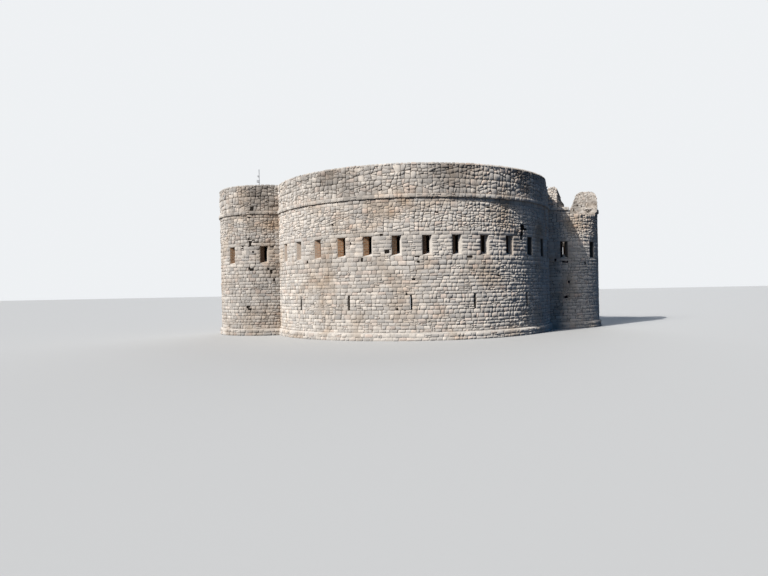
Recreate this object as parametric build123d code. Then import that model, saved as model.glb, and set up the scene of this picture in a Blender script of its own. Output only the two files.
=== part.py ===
"""Ruined round stone fort: a drum with a round tower on each side, two storeys and an open roof platform.

Millimetres, +Z up. The origin is on the ground at the drum's centre, and the front of the drum faces -Y.
Angles on a wall are measured from the front (-Y), positive towards +X, as seen from above the wall's own centre.
"""
import math
import os

from build123d import *

# Plan. The round walls are laid in short straight runs, so many to a full circle.
DRUM_RADIUS = 8800.0
DRUM_RUNS = 90
TOWER_RADIUS = 3085.0
TOWER_RUNS = 36
TOWER_OUTSET = 610.0
TOWER_BEARING = 91.4
GROUND_WALL = 1200.0
UPPER_WALL = 1000.0
PARAPET_WALL = 690.0
TOWER_GROUND_WALL = 1000.0
TOWER_UPPER_WALL = 850.0
TOWER_PARAPET_WALL = 600.0

# Levels
PLINTH_HEIGHT = 420.0
PLINTH_PROJECTION = 120.0
PLINTH_WEATHERING = 60.0
UPPER_STOREY_BASE = 3200.0
STRING_UNDERSIDE = 7390.0
STRING_HEIGHT = 200.0
STRING_PROJECTION = 90.0
PARAPET_TOP = 9130.0
FLOOR_THICKNESS = 300.0

# Loophole windows of the upper storey
WINDOW_SILL_LEVEL = 4380.0
WINDOW_HEIGHT = 1070.0
WINDOW_WIDTH = 530.0
# Seen from outside, the left cheek of a loophole is splayed more than the right one.
WINDOW_LEFT_SPLAY = 255.0
WINDOW_RIGHT_SPLAY = 115.0
WINDOW_THROAT_DEPTH = 250.0
WINDOW_INNER_WIDTH = 480.0
SILL_NOSE_HEIGHT = 30.0
SILL_RISE = 290.0
SILL_SLOPE_LENGTH = 700.0
LINTEL_HEIGHT = 200.0
LINTEL_DEPTH = 420.0
LINTEL_BEARING = 130.0
FRONT_WINDOW_ANGLES = (-63.1, -52.1, -41.3, -30.7, -20.7, -10.6, -0.3, 10.0, 20.4, 31.5, 43.4, 54.5, 65.0)
REAR_WINDOW_SPACING = 10.4
REAR_WINDOW_COUNT = 13
TOWER_WINDOW_ANGLES = (-2.1, 39.3, 90.0, 140.7, 177.9)

# Slits of the ground storey
SLIT_SILL_LEVEL = 1590.0
SLIT_HEIGHT = 790.0
SLIT_WIDTH = 120.0
SLIT_INNER_WIDTH = 640.0
SLIT_LINTEL_HEIGHT = 160.0
SLIT_LINTEL_DEPTH = 300.0
SLIT_LINTEL_BEARING = 140.0
GROUND_WALL_SPLITS = (-17.0, -6.0, 5.0)
FRONT_SLIT_ANGLES = (-51.0, -28.0, -6.0, 16.3, 40.8)
REAR_SLIT_ANGLES = (-129.0, -152.0, 152.0, 129.0)

# Rear doorway and the passages into the towers
DOOR_WIDTH = 1400.0
DOOR_SPRING_HEIGHT = 1600.0
DOOR_ARCH_DEPTH = 420.0
DOOR_ARCH_THICKNESS = 300.0
PASSAGE_WIDTH = 1000.0
PASSAGE_HEIGHT = 2100.0

# Broken walls of the right side, each outline as shares of a radius along and of a height up.
# The drum's parapet falls away beside the right tower: X as shares of the drum's radius.
DRUM_BREAK_OUTLINE = (
    (0.817, 1.01), (0.866, 1.00), (0.876, 0.98), (0.885, 0.90), (0.891, 0.82), (0.902, 0.715), (0.935, 0.60),
    (0.955, 0.56), (1.010, 0.50),
)
# The tower's parapet stands as a tooth beside the drum: X from the tower's centre as shares of its radius.
REMNANT_HEIGHT = 1290.0
REMNANT_OUTLINE = (
    (-0.320, 0.78), (-0.285, 0.95), (-0.230, 1.00), (-0.165, 0.93), (-0.072, 0.60),
    (-0.030, 0.33), (0.050, 0.20), (0.070, 0.02),
)
# Its broken end is an oblique plane through this point of the outer face, turned by this angle from the X axis.
REMNANT_END_POINT = (-0.156, -0.988)
REMNANT_END_ANGLE = 41.5
# From the tooth to the stub the tower's string course is broken off, and the wall's top with it.
STRING_BREAK_START = 4.0
STRING_BREAK_END = 52.0
WALL_BREAK_START = 6.0
WALL_BREAK_END = 49.0
WALL_BREAK_DEPTH = 200.0
# At the right and the rear stands a stub with worn shoulders: Y from the tower's centre as shares of its radius.
STUB_HEIGHT = 1500.0
STUB_OUTLINE = (
    (-0.560, 0.02), (-0.500, 0.08), (-0.420, 0.24), (-0.340, 0.44), (-0.220, 0.69), (-0.120, 0.82), (0.000, 0.92),
    (0.100, 0.98), (0.210, 1.00), (0.290, 0.94), (0.330, 0.84), (0.370, 0.68), (0.410, 0.52), (0.450, 0.36),
    (0.500, 0.20), (0.560, 0.10), (0.700, 0.06), (1.010, 0.04),
)
# Its roof has fallen in, but for what is left beside the drum: plan outline from the tower's centre, as shares.
ROOF_BREAK_OUTLINE = ((-0.06, -1.1), (-0.12, -0.55), (-0.02, -0.20), (-0.16, 0.15), (-0.05, 0.50), (-0.10, 1.1))
# Mast on the roof of the left tower, with two small boxes clamped to its side
MAST_HEIGHT = 3060.0
MAST_RADIUS = 28.0
MAST_FOOT_RADIUS = 120.0
MAST_FOOT_HEIGHT = 30.0
MAST_WALL_GAP = 1895.0
MAST_BOX_SIZES = (150.0, 100.0)
MAST_BOX_HEIGHTS = (2280.0, 2610.0)

# Worked out from the values above
FLOOR_LEVEL = FLOOR_THICKNESS
UPPER_FLOOR_LEVEL = UPPER_STOREY_BASE + FLOOR_THICKNESS
STRING_TOP = STRING_UNDERSIDE + STRING_HEIGHT
ROOF_LEVEL = STRING_UNDERSIDE + FLOOR_THICKNESS
WINDOW_HEAD_LEVEL = WINDOW_SILL_LEVEL + WINDOW_HEIGHT
SLIT_HEAD_LEVEL = SLIT_SILL_LEVEL + SLIT_HEIGHT
DOOR_SPRING_LEVEL = FLOOR_LEVEL + DOOR_SPRING_HEIGHT
TOWER_DISTANCE = DRUM_RADIUS + TOWER_OUTSET
REACH = 2.0 * (DRUM_RADIUS + TOWER_DISTANCE)
DRUM_CENTRE = (0.0, 0.0)
# Cutting shapes run this far past the faces that they cut.
OVERRUN = 60.0


def direction(angle):
    """Unit vector in plan at an angle from the front."""
    turn = math.radians(angle)
    return math.sin(turn), -math.cos(turn)


def tower_centre(side):
    """Plan centre of the tower on the left (-1) or the right (+1)."""
    x, y = direction(side * TOWER_BEARING)
    return x * TOWER_DISTANCE, y * TOWER_DISTANCE


LEFT_TOWER = tower_centre(-1)
RIGHT_TOWER = tower_centre(1)
TOWERS = ((-1, "left", LEFT_TOWER), (1, "right", RIGHT_TOWER))
REAR_WINDOW_ANGLES = [
    180.0 + REAR_WINDOW_SPACING * (index - (REAR_WINDOW_COUNT - 1) / 2) for index in range(REAR_WINDOW_COUNT)
]
nodes = {}


def junction_angle(tower_wall):
    """How far to each side of a tower's bearing its inner face meets the drum's outer face."""
    inner = TOWER_RADIUS - tower_wall
    cosine = (TOWER_DISTANCE ** 2 + DRUM_RADIUS ** 2 - inner ** 2) / (2 * TOWER_DISTANCE * DRUM_RADIUS)
    return math.degrees(math.acos(cosine))


def disc(radius, low, high, centre=DRUM_CENTRE):
    """Upright round slab between two levels, its edge in short straight runs."""
    runs = DRUM_RUNS if centre == DRUM_CENTRE else TOWER_RUNS
    outline = Pos(centre[0], centre[1], low) * RegularPolygon(radius, runs)
    return extrude(outline, high - low)


def ring(outer, inner, low, high, centre=DRUM_CENTRE):
    """Upright round wall between two levels."""
    return disc(outer, low, high, centre) - disc(inner, low - OVERRUN, high + OVERRUN, centre)


def sector(start, end, low, high, centre=DRUM_CENTRE):
    """Wedge of space between two angles, for cutting a round wall into segments."""
    steps = max(1, math.ceil((end - start) / 60.0))
    points = [centre]
    for step in range(steps + 1):
        x, y = direction(start + (end - start) * step / steps)
        points.append((centre[0] + x * REACH, centre[1] + y * REACH))
    outline = Pos(0, 0, low) * make_face(Polyline(*points, close=True))
    return extrude(outline, high - low)


def at_wall(shape, angle, radius, centre=DRUM_CENTRE):
    """Place on a round wall a shape drawn with its outer face at the origin and its depth along +Y."""
    x, y = direction(angle)
    return Pos(centre[0] + x * radius, centre[1] + y * radius, 0) * Rot(0, 0, angle) * shape


def prism(points, low, high):
    """Upright prism on a plan outline."""
    return extrude(Pos(0, 0, low) * make_face(Polyline(*points, close=True)), high - low)


def gather(shapes):
    """One shape of all the solids in a list of shapes."""
    solids = [solid for shape in shapes for solid in shape.solids()]
    return solids[0] if len(solids) == 1 else Compound(children=solids)


def drum_segment(body, start, end, low, high):
    return body & sector(start, end, low, high)


def front_and_rear(outer, inner, tower_wall, low, high):
    """The drum's wall outside both towers: its front arc and its rear arc."""
    body = ring(outer, inner, low, high)
    if outer > DRUM_RADIUS:
        for slab in tower_slabs(tower_wall, low - OVERRUN, high + OVERRUN):
            body -= slab
    edge = junction_angle(tower_wall)
    front_end = TOWER_BEARING - edge
    rear_start = TOWER_BEARING + edge
    front = drum_segment(body, -front_end, front_end, low, high)
    rear = drum_segment(body, rear_start, 360.0 - rear_start, low, high)
    return front, rear


def tower_ring(outer_extra, wall, low, high, centre, drum_extra=0.0):
    """A tower's wall outside the drum."""
    body = ring(TOWER_RADIUS + outer_extra, TOWER_RADIUS - wall, low, high, centre)
    return body - disc(DRUM_RADIUS + drum_extra, low - OVERRUN, high + OVERRUN)


def party_walls(wall, tower_wall, low, high, sill):
    """The drum's wall inside each tower, with a plain passage."""
    edge = junction_angle(tower_wall)
    walls = []
    for side, _, _ in TOWERS:
        bearing = side * TOWER_BEARING
        body = ring(DRUM_RADIUS, DRUM_RADIUS - wall, low, high) & sector(bearing - edge, bearing + edge, low, high)
        half = PASSAGE_WIDTH / 2
        run = wall + 4 * OVERRUN
        outline = [(-half, -OVERRUN), (half, -OVERRUN), (half, run), (-half, run)]
        walls.append(body - at_wall(prism(outline, sill, sill + PASSAGE_HEIGHT), bearing, DRUM_RADIUS))
    return gather(walls)


# Openings, each drawn with the wall's outer face at the origin
def window_cut(wall):
    """Space of a loophole: its splayed cheeks narrow to a throat, and it widens again to the inner face."""
    half = WINDOW_WIDTH / 2
    middle = (WINDOW_LEFT_SPLAY - WINDOW_RIGHT_SPLAY) / 2
    sides = []
    for side, splay in ((1, WINDOW_RIGHT_SPLAY), (-1, WINDOW_LEFT_SPLAY)):
        mouth = half + splay * OVERRUN / WINDOW_THROAT_DEPTH
        inner = middle + side * WINDOW_INNER_WIDTH / 2
        sides.append([(side * mouth, -OVERRUN), (side * (half - splay), WINDOW_THROAT_DEPTH), (inner, wall + OVERRUN)])
    right, left = sides
    return prism(right + left[::-1], WINDOW_SILL_LEVEL, WINDOW_HEAD_LEVEL)


def slit_cut():
    """Space of a slit: narrow outside and wide inside."""
    widening = (SLIT_INNER_WIDTH - SLIT_WIDTH) / GROUND_WALL
    inside = SLIT_INNER_WIDTH + widening * OVERRUN
    half_points = [(SLIT_WIDTH / 2, -OVERRUN), (SLIT_WIDTH / 2, 0.0), (inside / 2, GROUND_WALL + OVERRUN)]
    return prism(mirrored(half_points), SLIT_SILL_LEVEL, SLIT_HEAD_LEVEL)


def mirrored(half_points):
    """Closed outline from the points of its right half, outside first."""
    return half_points + [(-x, y) for x, y in reversed(half_points)]


def lintel(width, depth, low, high):
    """Squared stone over an opening, run past the face so that the wall trims it."""
    half = width / 2
    return prism([(-half, -OVERRUN), (half, -OVERRUN), (half, depth), (-half, depth)], low, high)


def sill_stone(wall):
    """Sloping sill that fills the foot of a loophole through the wall."""
    slope = (SILL_RISE - SILL_NOSE_HEIGHT) / SILL_SLOPE_LENGTH
    foot = WINDOW_SILL_LEVEL
    side = [
        (-OVERRUN, foot),
        (wall, foot),
        (wall, foot + SILL_RISE),
        (SILL_SLOPE_LENGTH, foot + SILL_RISE),
        (-OVERRUN, foot + SILL_NOSE_HEIGHT - slope * OVERRUN),
    ]
    profile = Plane.YZ * make_face(Polyline(*side, close=True))
    return extrude(profile, WINDOW_WIDTH, both=True) & window_cut(wall)


def door_space(radius, depth):
    """Space of the arched doorway, of a given radius and depth."""
    body = prism([(-radius, -OVERRUN), (radius, -OVERRUN), (radius, depth), (-radius, depth)],
                 FLOOR_LEVEL, DOOR_SPRING_LEVEL)
    return body + arch_head(radius, depth)


def arch_head(radius, depth):
    """Round head over the doorway's springing, from outside the face to a given depth."""
    head = Plane.XZ * (Pos(0, DOOR_SPRING_LEVEL) * Circle(radius))
    above = Plane.XZ * (Pos(0, DOOR_SPRING_LEVEL + radius) * Rectangle(2 * radius, 2 * radius))
    return Pos(0, depth, 0) * extrude(head & above, depth + OVERRUN)


# Plinths
def weathered_base(radius, centre=DRUM_CENTRE):
    """Base of a round wall with its projecting top edge sloped back."""
    runs = DRUM_RUNS if centre == DRUM_CENTRE else TOWER_RUNS
    outer = radius + PLINTH_PROJECTION
    edge = PLINTH_HEIGHT - PLINTH_WEATHERING
    body = disc(outer, 0, edge, centre)
    foot = Pos(centre[0], centre[1], edge) * RegularPolygon(outer, runs)
    top = Pos(centre[0], centre[1], PLINTH_HEIGHT) * RegularPolygon(outer - PLINTH_WEATHERING, runs)
    return body + loft([foot.face(), top.face()], ruled=True)


def make_plinths():
    outer = DRUM_RADIUS + PLINTH_PROJECTION
    inner = DRUM_RADIUS - GROUND_WALL
    front, rear = front_and_rear(outer, inner, TOWER_GROUND_WALL, 0, PLINTH_HEIGHT)
    base = weathered_base(DRUM_RADIUS)
    doorway = door_space(DOOR_WIDTH / 2, GROUND_WALL + OVERRUN)
    reach_out = Pos(0, -PLINTH_PROJECTION, 0) * doorway
    nodes["plinth_front"] = front & base
    nodes["plinth_rear"] = (rear & base) - at_wall(doorway + reach_out, 180.0, DRUM_RADIUS)
    for _, name, centre in TOWERS:
        body = tower_ring(PLINTH_PROJECTION, TOWER_GROUND_WALL, 0, PLINTH_HEIGHT, centre)
        nodes[f"plinth_{name}_tower"] = (body & weathered_base(TOWER_RADIUS, centre)) - base


# Ground storey
def make_ground_walls():
    low, high = PLINTH_HEIGHT, UPPER_STOREY_BASE
    front, rear = front_and_rear(DRUM_RADIUS, DRUM_RADIUS - GROUND_WALL, TOWER_GROUND_WALL, low, high)
    solid_wall = front + rear
    opening = slit_cut()
    head = lintel(SLIT_WIDTH + 2 * SLIT_LINTEL_BEARING, SLIT_LINTEL_DEPTH, SLIT_HEAD_LEVEL,
                  SLIT_HEAD_LEVEL + SLIT_LINTEL_HEIGHT)
    lintels = []
    for angle in FRONT_SLIT_ANGLES + REAR_SLIT_ANGLES:
        stone = at_wall(head, angle, DRUM_RADIUS)
        lintels.append(stone & solid_wall)
        space = stone + at_wall(opening, angle, DRUM_RADIUS)
        if abs(angle) < 90:
            front -= space
        else:
            rear -= space
    nodes["slit_lintels"] = gather(lintels)

    front_end = TOWER_BEARING - junction_angle(TOWER_GROUND_WALL)
    edges = (-front_end, *GROUND_WALL_SPLITS, front_end)
    for name, start, end in zip(("left", "centre_left", "centre_right", "right"), edges, edges[1:]):
        nodes[f"ground_wall_front_{name}"] = drum_segment(front, start, end, low, high)

    arch_outer = DOOR_WIDTH / 2 + DOOR_ARCH_THICKNESS
    arch = arch_head(arch_outer, DOOR_ARCH_DEPTH) - arch_head(DOOR_WIDTH / 2, DOOR_ARCH_DEPTH + OVERRUN)
    arch = at_wall(arch, 180.0, DRUM_RADIUS) & rear
    doorway = at_wall(door_space(DOOR_WIDTH / 2, GROUND_WALL + OVERRUN), 180.0, DRUM_RADIUS)
    rear = rear - doorway - arch
    nodes["door_arch"] = arch
    half_angle = math.degrees(math.asin(arch_outer / DRUM_RADIUS))
    over_door = sector(180 - half_angle, 180 + half_angle, DOOR_SPRING_LEVEL, high)
    nodes["wall_over_door"] = rear & over_door
    beside = rear - over_door
    rear_start = TOWER_BEARING + junction_angle(TOWER_GROUND_WALL)
    nodes["ground_wall_rear_left"] = drum_segment(beside, 180, 360 - rear_start, low, high)
    nodes["ground_wall_rear_right"] = drum_segment(beside, rear_start, 180, low, high)

    for _, name, centre in TOWERS:
        nodes[f"ground_wall_{name}_tower"] = tower_ring(0, TOWER_GROUND_WALL, low, high, centre)
    nodes["ground_party_walls"] = party_walls(GROUND_WALL, TOWER_GROUND_WALL, 0, UPPER_STOREY_BASE, FLOOR_LEVEL)


# Upper storey, in bands below, between and above the loopholes
def make_upper_walls():
    sill, head, top = WINDOW_SILL_LEVEL, WINDOW_HEAD_LEVEL, STRING_UNDERSIDE
    inner = DRUM_RADIUS - UPPER_WALL
    low_arcs = front_and_rear(DRUM_RADIUS, inner, TOWER_UPPER_WALL, UPPER_STOREY_BASE, sill)
    pier_arcs = front_and_rear(DRUM_RADIUS, inner, TOWER_UPPER_WALL, sill, head)
    high_arcs = front_and_rear(DRUM_RADIUS, inner, TOWER_UPPER_WALL, head, top)
    lintels, sills = [], []
    for index, (name, angles) in enumerate((("front", FRONT_WINDOW_ANGLES), ("rear", REAR_WINDOW_ANGLES))):
        piers, above = pierce(pier_arcs[index], high_arcs[index], UPPER_WALL, angles, DRUM_RADIUS, DRUM_CENTRE,
                              lintels, sills)
        nodes[f"upper_wall_{name}_low"] = low_arcs[index]
        nodes[f"window_piers_{name}"] = piers
        nodes[f"upper_wall_{name}_high"] = above

    low_rings, pier_rings, high_rings = [], [], []
    for side, _, centre in TOWERS:
        angles = [side * angle for angle in TOWER_WINDOW_ANGLES]
        low_rings.append(tower_ring(0, TOWER_UPPER_WALL, UPPER_STOREY_BASE, sill, centre))
        piers, above = pierce(
            tower_ring(0, TOWER_UPPER_WALL, sill, head, centre),
            tower_ring(0, TOWER_UPPER_WALL, head, top, centre),
            TOWER_UPPER_WALL, angles, TOWER_RADIUS, centre, lintels, sills,
        )
        if side > 0:
            above -= sector(WALL_BREAK_START, WALL_BREAK_END, top - WALL_BREAK_DEPTH, top + OVERRUN, centre)
        pier_rings.append(piers)
        high_rings.append(above)
    nodes["tower_walls_low"] = gather(low_rings)
    nodes["tower_window_piers"] = gather(pier_rings)
    nodes["tower_walls_high"] = gather(high_rings)
    nodes["window_lintels"] = gather(lintels)
    nodes["window_sills"] = gather(sills)
    nodes["upper_party_walls"] = party_walls(
        UPPER_WALL, TOWER_UPPER_WALL, UPPER_STOREY_BASE, STRING_UNDERSIDE, UPPER_FLOOR_LEVEL
    )


def pierce(pier_band, high_band, wall, angles, radius, centre, lintels, sills):
    """Cut the loopholes of one round wall into piers and seat their lintels and sills."""
    head_level = WINDOW_HEAD_LEVEL
    opening = window_cut(wall)
    foot = sill_stone(wall)
    head = lintel(WINDOW_WIDTH + 2 * LINTEL_BEARING, LINTEL_DEPTH, head_level, head_level + LINTEL_HEIGHT)
    solid_piers, solid_top = pier_band, high_band
    for angle in angles:
        stone = at_wall(head, angle, radius, centre)
        lintels.append(stone & solid_top)
        sills.append(at_wall(foot, angle, radius, centre) & solid_piers)
        pier_band -= at_wall(opening, angle, radius, centre)
        high_band -= stone
    return pier_band, high_band


# String course
def make_string_course():
    low, high = STRING_UNDERSIDE, STRING_TOP
    outer = DRUM_RADIUS + STRING_PROJECTION
    front, rear = front_and_rear(outer, DRUM_RADIUS - PARAPET_WALL, TOWER_PARAPET_WALL, low, high)
    nodes["string_course_front"] = front
    nodes["string_course_rear"] = rear
    for side, name, centre in TOWERS:
        course = tower_ring(STRING_PROJECTION, TOWER_PARAPET_WALL, low, high, centre, STRING_PROJECTION)
        if side > 0:
            course -= sector(STRING_BREAK_START, STRING_BREAK_END, low - OVERRUN, high + OVERRUN, centre)
        nodes[f"string_course_{name}_tower"] = course


# Parapets
def standing_part(plane, outline, start, along, base, height):
    """Everything under a broken outline, given as shares along and up, from a level start."""
    points = [(start, base - OVERRUN), (start, base + outline[0][1] * height)]
    points += [(along[0] + share * along[1], base + rise * height) for share, rise in outline]
    points.append((along[0] + outline[-1][0] * along[1], base - OVERRUN))
    return extrude(plane * make_face(Polyline(*points, close=True)), REACH, both=True)


def behind_remnant_end(low):
    """Space on the standing side of the oblique plane at which the tooth is broken off."""
    corners = ((-TOWER_RADIUS, 0), (TOWER_RADIUS, 0), (TOWER_RADIUS, 2 * TOWER_RADIUS), (-TOWER_RADIUS, 2 * TOWER_RADIUS))
    turn = math.radians(REMNANT_END_ANGLE)
    x = RIGHT_TOWER[0] + REMNANT_END_POINT[0] * TOWER_RADIUS
    y = RIGHT_TOWER[1] + REMNANT_END_POINT[1] * TOWER_RADIUS
    points = [
        (x + along * math.cos(turn) - back * math.sin(turn), y + along * math.sin(turn) + back * math.cos(turn))
        for along, back in corners
    ]
    return prism(points, low - OVERRUN, low + REMNANT_HEIGHT + OVERRUN)


def make_parapets():
    low, high = STRING_TOP, PARAPET_TOP
    front, rear = front_and_rear(DRUM_RADIUS, DRUM_RADIUS - PARAPET_WALL, TOWER_PARAPET_WALL, low, high)
    edge = junction_angle(TOWER_PARAPET_WALL)
    front_end = TOWER_BEARING - edge
    nodes["parapet_front_left"] = drum_segment(front, -front_end, 0, low, high)
    right = drum_segment(front, 0, front_end, low, high)
    nodes["parapet_front_right"] = right & standing_part(
        Plane.XZ, DRUM_BREAK_OUTLINE, -OVERRUN, (0.0, DRUM_RADIUS), low, high - low
    )
    nodes["parapet_rear"] = rear
    nodes["parapet_left_tower"] = tower_ring(0, TOWER_PARAPET_WALL, low, high, LEFT_TOWER)

    whole = tower_ring(0, TOWER_PARAPET_WALL, low, high, RIGHT_TOWER)
    x, y = RIGHT_TOWER
    tooth = standing_part(Plane.XZ, REMNANT_OUTLINE, x - 2 * TOWER_RADIUS, (x, TOWER_RADIUS), low, REMNANT_HEIGHT)
    front_half = sector(-90, 90, low, high, RIGHT_TOWER)
    nodes["parapet_right_tower_front"] = whole & tooth & front_half & behind_remnant_end(low)
    stub = standing_part(
        Plane.YZ, STUB_OUTLINE, y + STUB_OUTLINE[0][0] * TOWER_RADIUS - OVERRUN, (y, TOWER_RADIUS), low, STUB_HEIGHT
    )
    right_half = sector(0, 180, low, high, RIGHT_TOWER)
    nodes["parapet_right_tower_stub"] = whole & stub & right_half


# Floors and roof platforms
def make_floors():
    nodes["ground_floor_drum"] = disc(DRUM_RADIUS - GROUND_WALL, 0, FLOOR_LEVEL)
    nodes["upper_floor_drum"] = disc(DRUM_RADIUS - UPPER_WALL, UPPER_STOREY_BASE, UPPER_FLOOR_LEVEL)
    nodes["roof_drum"] = disc(DRUM_RADIUS - PARAPET_WALL, STRING_UNDERSIDE, ROOF_LEVEL)
    nodes["ground_floor_towers"] = gather(tower_slabs(TOWER_GROUND_WALL, 0, FLOOR_LEVEL))
    nodes["upper_floor_towers"] = gather(tower_slabs(TOWER_UPPER_WALL, UPPER_STOREY_BASE, UPPER_FLOOR_LEVEL))
    edge = junction_angle(TOWER_PARAPET_WALL)
    over_drum_wall = ring(DRUM_RADIUS, DRUM_RADIUS - PARAPET_WALL, STRING_UNDERSIDE, ROOF_LEVEL)
    roofs = []
    for (side, _, _), slab in zip(TOWERS, tower_slabs(TOWER_PARAPET_WALL, STRING_UNDERSIDE, ROOF_LEVEL)):
        bearing = side * TOWER_BEARING
        if side > 0:
            slab &= left_of_roof_break()
        roofs.append(slab + (over_drum_wall & sector(bearing - edge, bearing + edge, STRING_UNDERSIDE, ROOF_LEVEL)))
    nodes["roof_towers"] = gather(roofs)


def left_of_roof_break():
    """Space on the drum's side of the line where the right tower's roof has fallen in."""
    x, y = RIGHT_TOWER
    line = [(x + along * TOWER_RADIUS, y + across * TOWER_RADIUS) for along, across in ROOF_BREAK_OUTLINE]
    return prism([(0, line[0][1]), *line, (0, line[-1][1])], STRING_UNDERSIDE - OVERRUN, ROOF_LEVEL + OVERRUN)


def tower_slabs(wall, low, high):
    drum = disc(DRUM_RADIUS, low - OVERRUN, high + OVERRUN)
    return [disc(TOWER_RADIUS - wall, low, high, centre) - drum for _, _, centre in TOWERS]


# Mast
def make_mast():
    x = LEFT_TOWER[0] - (TOWER_RADIUS - TOWER_PARAPET_WALL - MAST_WALL_GAP)
    y = LEFT_TOWER[1]
    body = Pos(x, y, ROOF_LEVEL + MAST_HEIGHT / 2) * Cylinder(MAST_RADIUS, MAST_HEIGHT)
    body += Pos(x, y, ROOF_LEVEL + MAST_FOOT_HEIGHT / 2) * Cylinder(MAST_FOOT_RADIUS, MAST_FOOT_HEIGHT)
    for size, height in zip(MAST_BOX_SIZES, MAST_BOX_HEIGHTS):
        body += Pos(x - size / 2, y, ROOF_LEVEL + height) * Box(size, size, size)
    nodes["mast"] = body


make_plinths()
make_ground_walls()
make_upper_walls()
make_string_course()
make_parapets()
make_floors()
make_mast()

os.makedirs("parts", exist_ok=True)
for node_name, shape in nodes.items():
    export_step(shape, os.path.join("parts", node_name + ".step"))
    print(f"{node_name}: {len(shape.solids())} solid(s), {shape.volume / 1e9:.3f} m3")
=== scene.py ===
"""Dressed model of a ruined round stone fort: facing stones, copings, linings, broken ends and finishes.

Metres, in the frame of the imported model: the origin is on the ground at the drum's centre and the front
faces -Y. A wall's face is laid out unrolled: s runs along it from the front towards +X, and z runs up.
"""

import math
import random
from collections import namedtuple

import bpy
from mathutils import Matrix, Vector, noise


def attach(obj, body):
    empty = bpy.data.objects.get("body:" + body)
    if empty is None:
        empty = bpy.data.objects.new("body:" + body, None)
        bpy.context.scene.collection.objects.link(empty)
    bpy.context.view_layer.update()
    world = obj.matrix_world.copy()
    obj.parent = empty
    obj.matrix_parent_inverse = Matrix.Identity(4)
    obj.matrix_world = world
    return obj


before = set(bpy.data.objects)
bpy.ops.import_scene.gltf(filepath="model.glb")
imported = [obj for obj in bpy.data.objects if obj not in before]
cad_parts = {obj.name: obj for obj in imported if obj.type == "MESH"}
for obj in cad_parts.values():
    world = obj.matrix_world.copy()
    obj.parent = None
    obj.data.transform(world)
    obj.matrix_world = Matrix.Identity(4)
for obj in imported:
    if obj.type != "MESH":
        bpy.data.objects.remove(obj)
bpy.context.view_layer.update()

# Plan and levels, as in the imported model
DRUM_RADIUS = 8.8
TOWER_RADIUS = 3.085
TOWER_DISTANCE = 9.41
TOWER_BEARING = 91.4
PARAPET_WALL = 0.69
TOWER_PARAPET_WALL = 0.6
DRUM_INSIDE = DRUM_RADIUS - PARAPET_WALL
TOWER_INSIDE = TOWER_RADIUS - TOWER_PARAPET_WALL
PLINTH_TOP = 0.42
PLINTH_EDGE = 0.36
PLINTH_PROJECTION = 0.12
STRING_UNDERSIDE = 7.39
STRING_TOP = 7.59
STRING_PROJECTION = 0.09
ROOF_LEVEL = 7.69
PARAPET_TOP = 9.13
SPLAY_DEPTH = 0.25
DOOR_ANGLE = 180.0
DOOR_HALF_WIDTH = 0.7
DOOR_THRESHOLD = 0.3
DOOR_SPRING = 1.9
DOOR_ARCH_OUTER = 1.0

# Windows and slits with their lintels, and their angles from the front
Hole = namedtuple("Hole", "half_width sill head lintel_half_width lintel_top")
WINDOW = Hole(0.265, 4.38, 5.45, 0.395, 5.65)
SLIT = Hole(0.06, 1.59, 2.38, 0.2, 2.54)
FRONT_WINDOW_ANGLES = (-63.1, -52.1, -41.3, -30.7, -20.7, -10.6, -0.3, 10.0, 20.4, 31.5, 43.4, 54.5, 65.0)
REAR_WINDOW_ANGLES = tuple(180 + 10.4 * (index - 6) for index in range(13))
TOWER_WINDOW_ANGLES = (-2.1, 39.3, 90.0, 140.7, 177.9)
FRONT_SLIT_ANGLES = (-51.0, -28.0, -6.0, 16.3, 40.8)
REAR_SLIT_ANGLES = (129.0, 152.0, 208.0, 231.0)

# Broken outlines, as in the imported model: shares of a radius along and of a height above the string course
DRUM_BREAK = (
    (-1.0, 1.01), (0.866, 1.00), (0.876, 0.98), (0.885, 0.90), (0.891, 0.82), (0.902, 0.715), (0.935, 0.60),
    (0.955, 0.56), (1.010, 0.50),
)
TOOTH_HEIGHT = 1.29
TOOTH = (
    (-1.01, 0.78), (-0.320, 0.78), (-0.285, 0.95), (-0.230, 1.00), (-0.165, 0.93), (-0.072, 0.60),
    (-0.030, 0.33), (0.050, 0.20), (0.070, 0.02),
)
TOOTH_END_OUTSIDE = -9.0
TOOTH_END_INSIDE = 3.6
STUB_HEIGHT = 1.5
STUB_SPAN = (52.0, 180.0)
STUB = (
    (-0.560, 0.02), (-0.500, 0.08), (-0.420, 0.24), (-0.340, 0.44), (-0.220, 0.69), (-0.120, 0.82),
    (0.000, 0.92), (0.100, 0.98), (0.210, 1.00), (0.290, 0.94), (0.330, 0.84), (0.370, 0.68),
    (0.410, 0.52), (0.450, 0.36), (0.500, 0.20), (0.560, 0.10), (0.700, 0.06), (1.010, 0.04),
)
STRING_BREAK = (4.0, 52.0)
WALL_BREAK = (6.0, 49.0)
WALL_BREAK_DEPTH = 0.2
ROOF_BREAK = ((-0.06, -1.1), (-0.12, -0.55), (-0.02, -0.20), (-0.16, 0.15), (-0.05, 0.50), (-0.10, 1.1))

# Stones start this far inside the wall's face, so that none shows a gap behind it.
BEDDING = 0.018
# Spread of the slopes at which the stones' faces stand to the wall's face
FACE_TILT = 0.042
# The facing is flatter towards the right of the drum, and brightened there by painted light on its
# grazing-lit stones: between these places, by these shares.
FLAT_AND_PAINTED_LIGHT_FROM = -5.0
FLAT_AND_PAINTED_LIGHT_TO = 5.0
FLATTER = 0.5
PAINTED_LIGHT_RIGHTWARDS = 0.3

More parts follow.
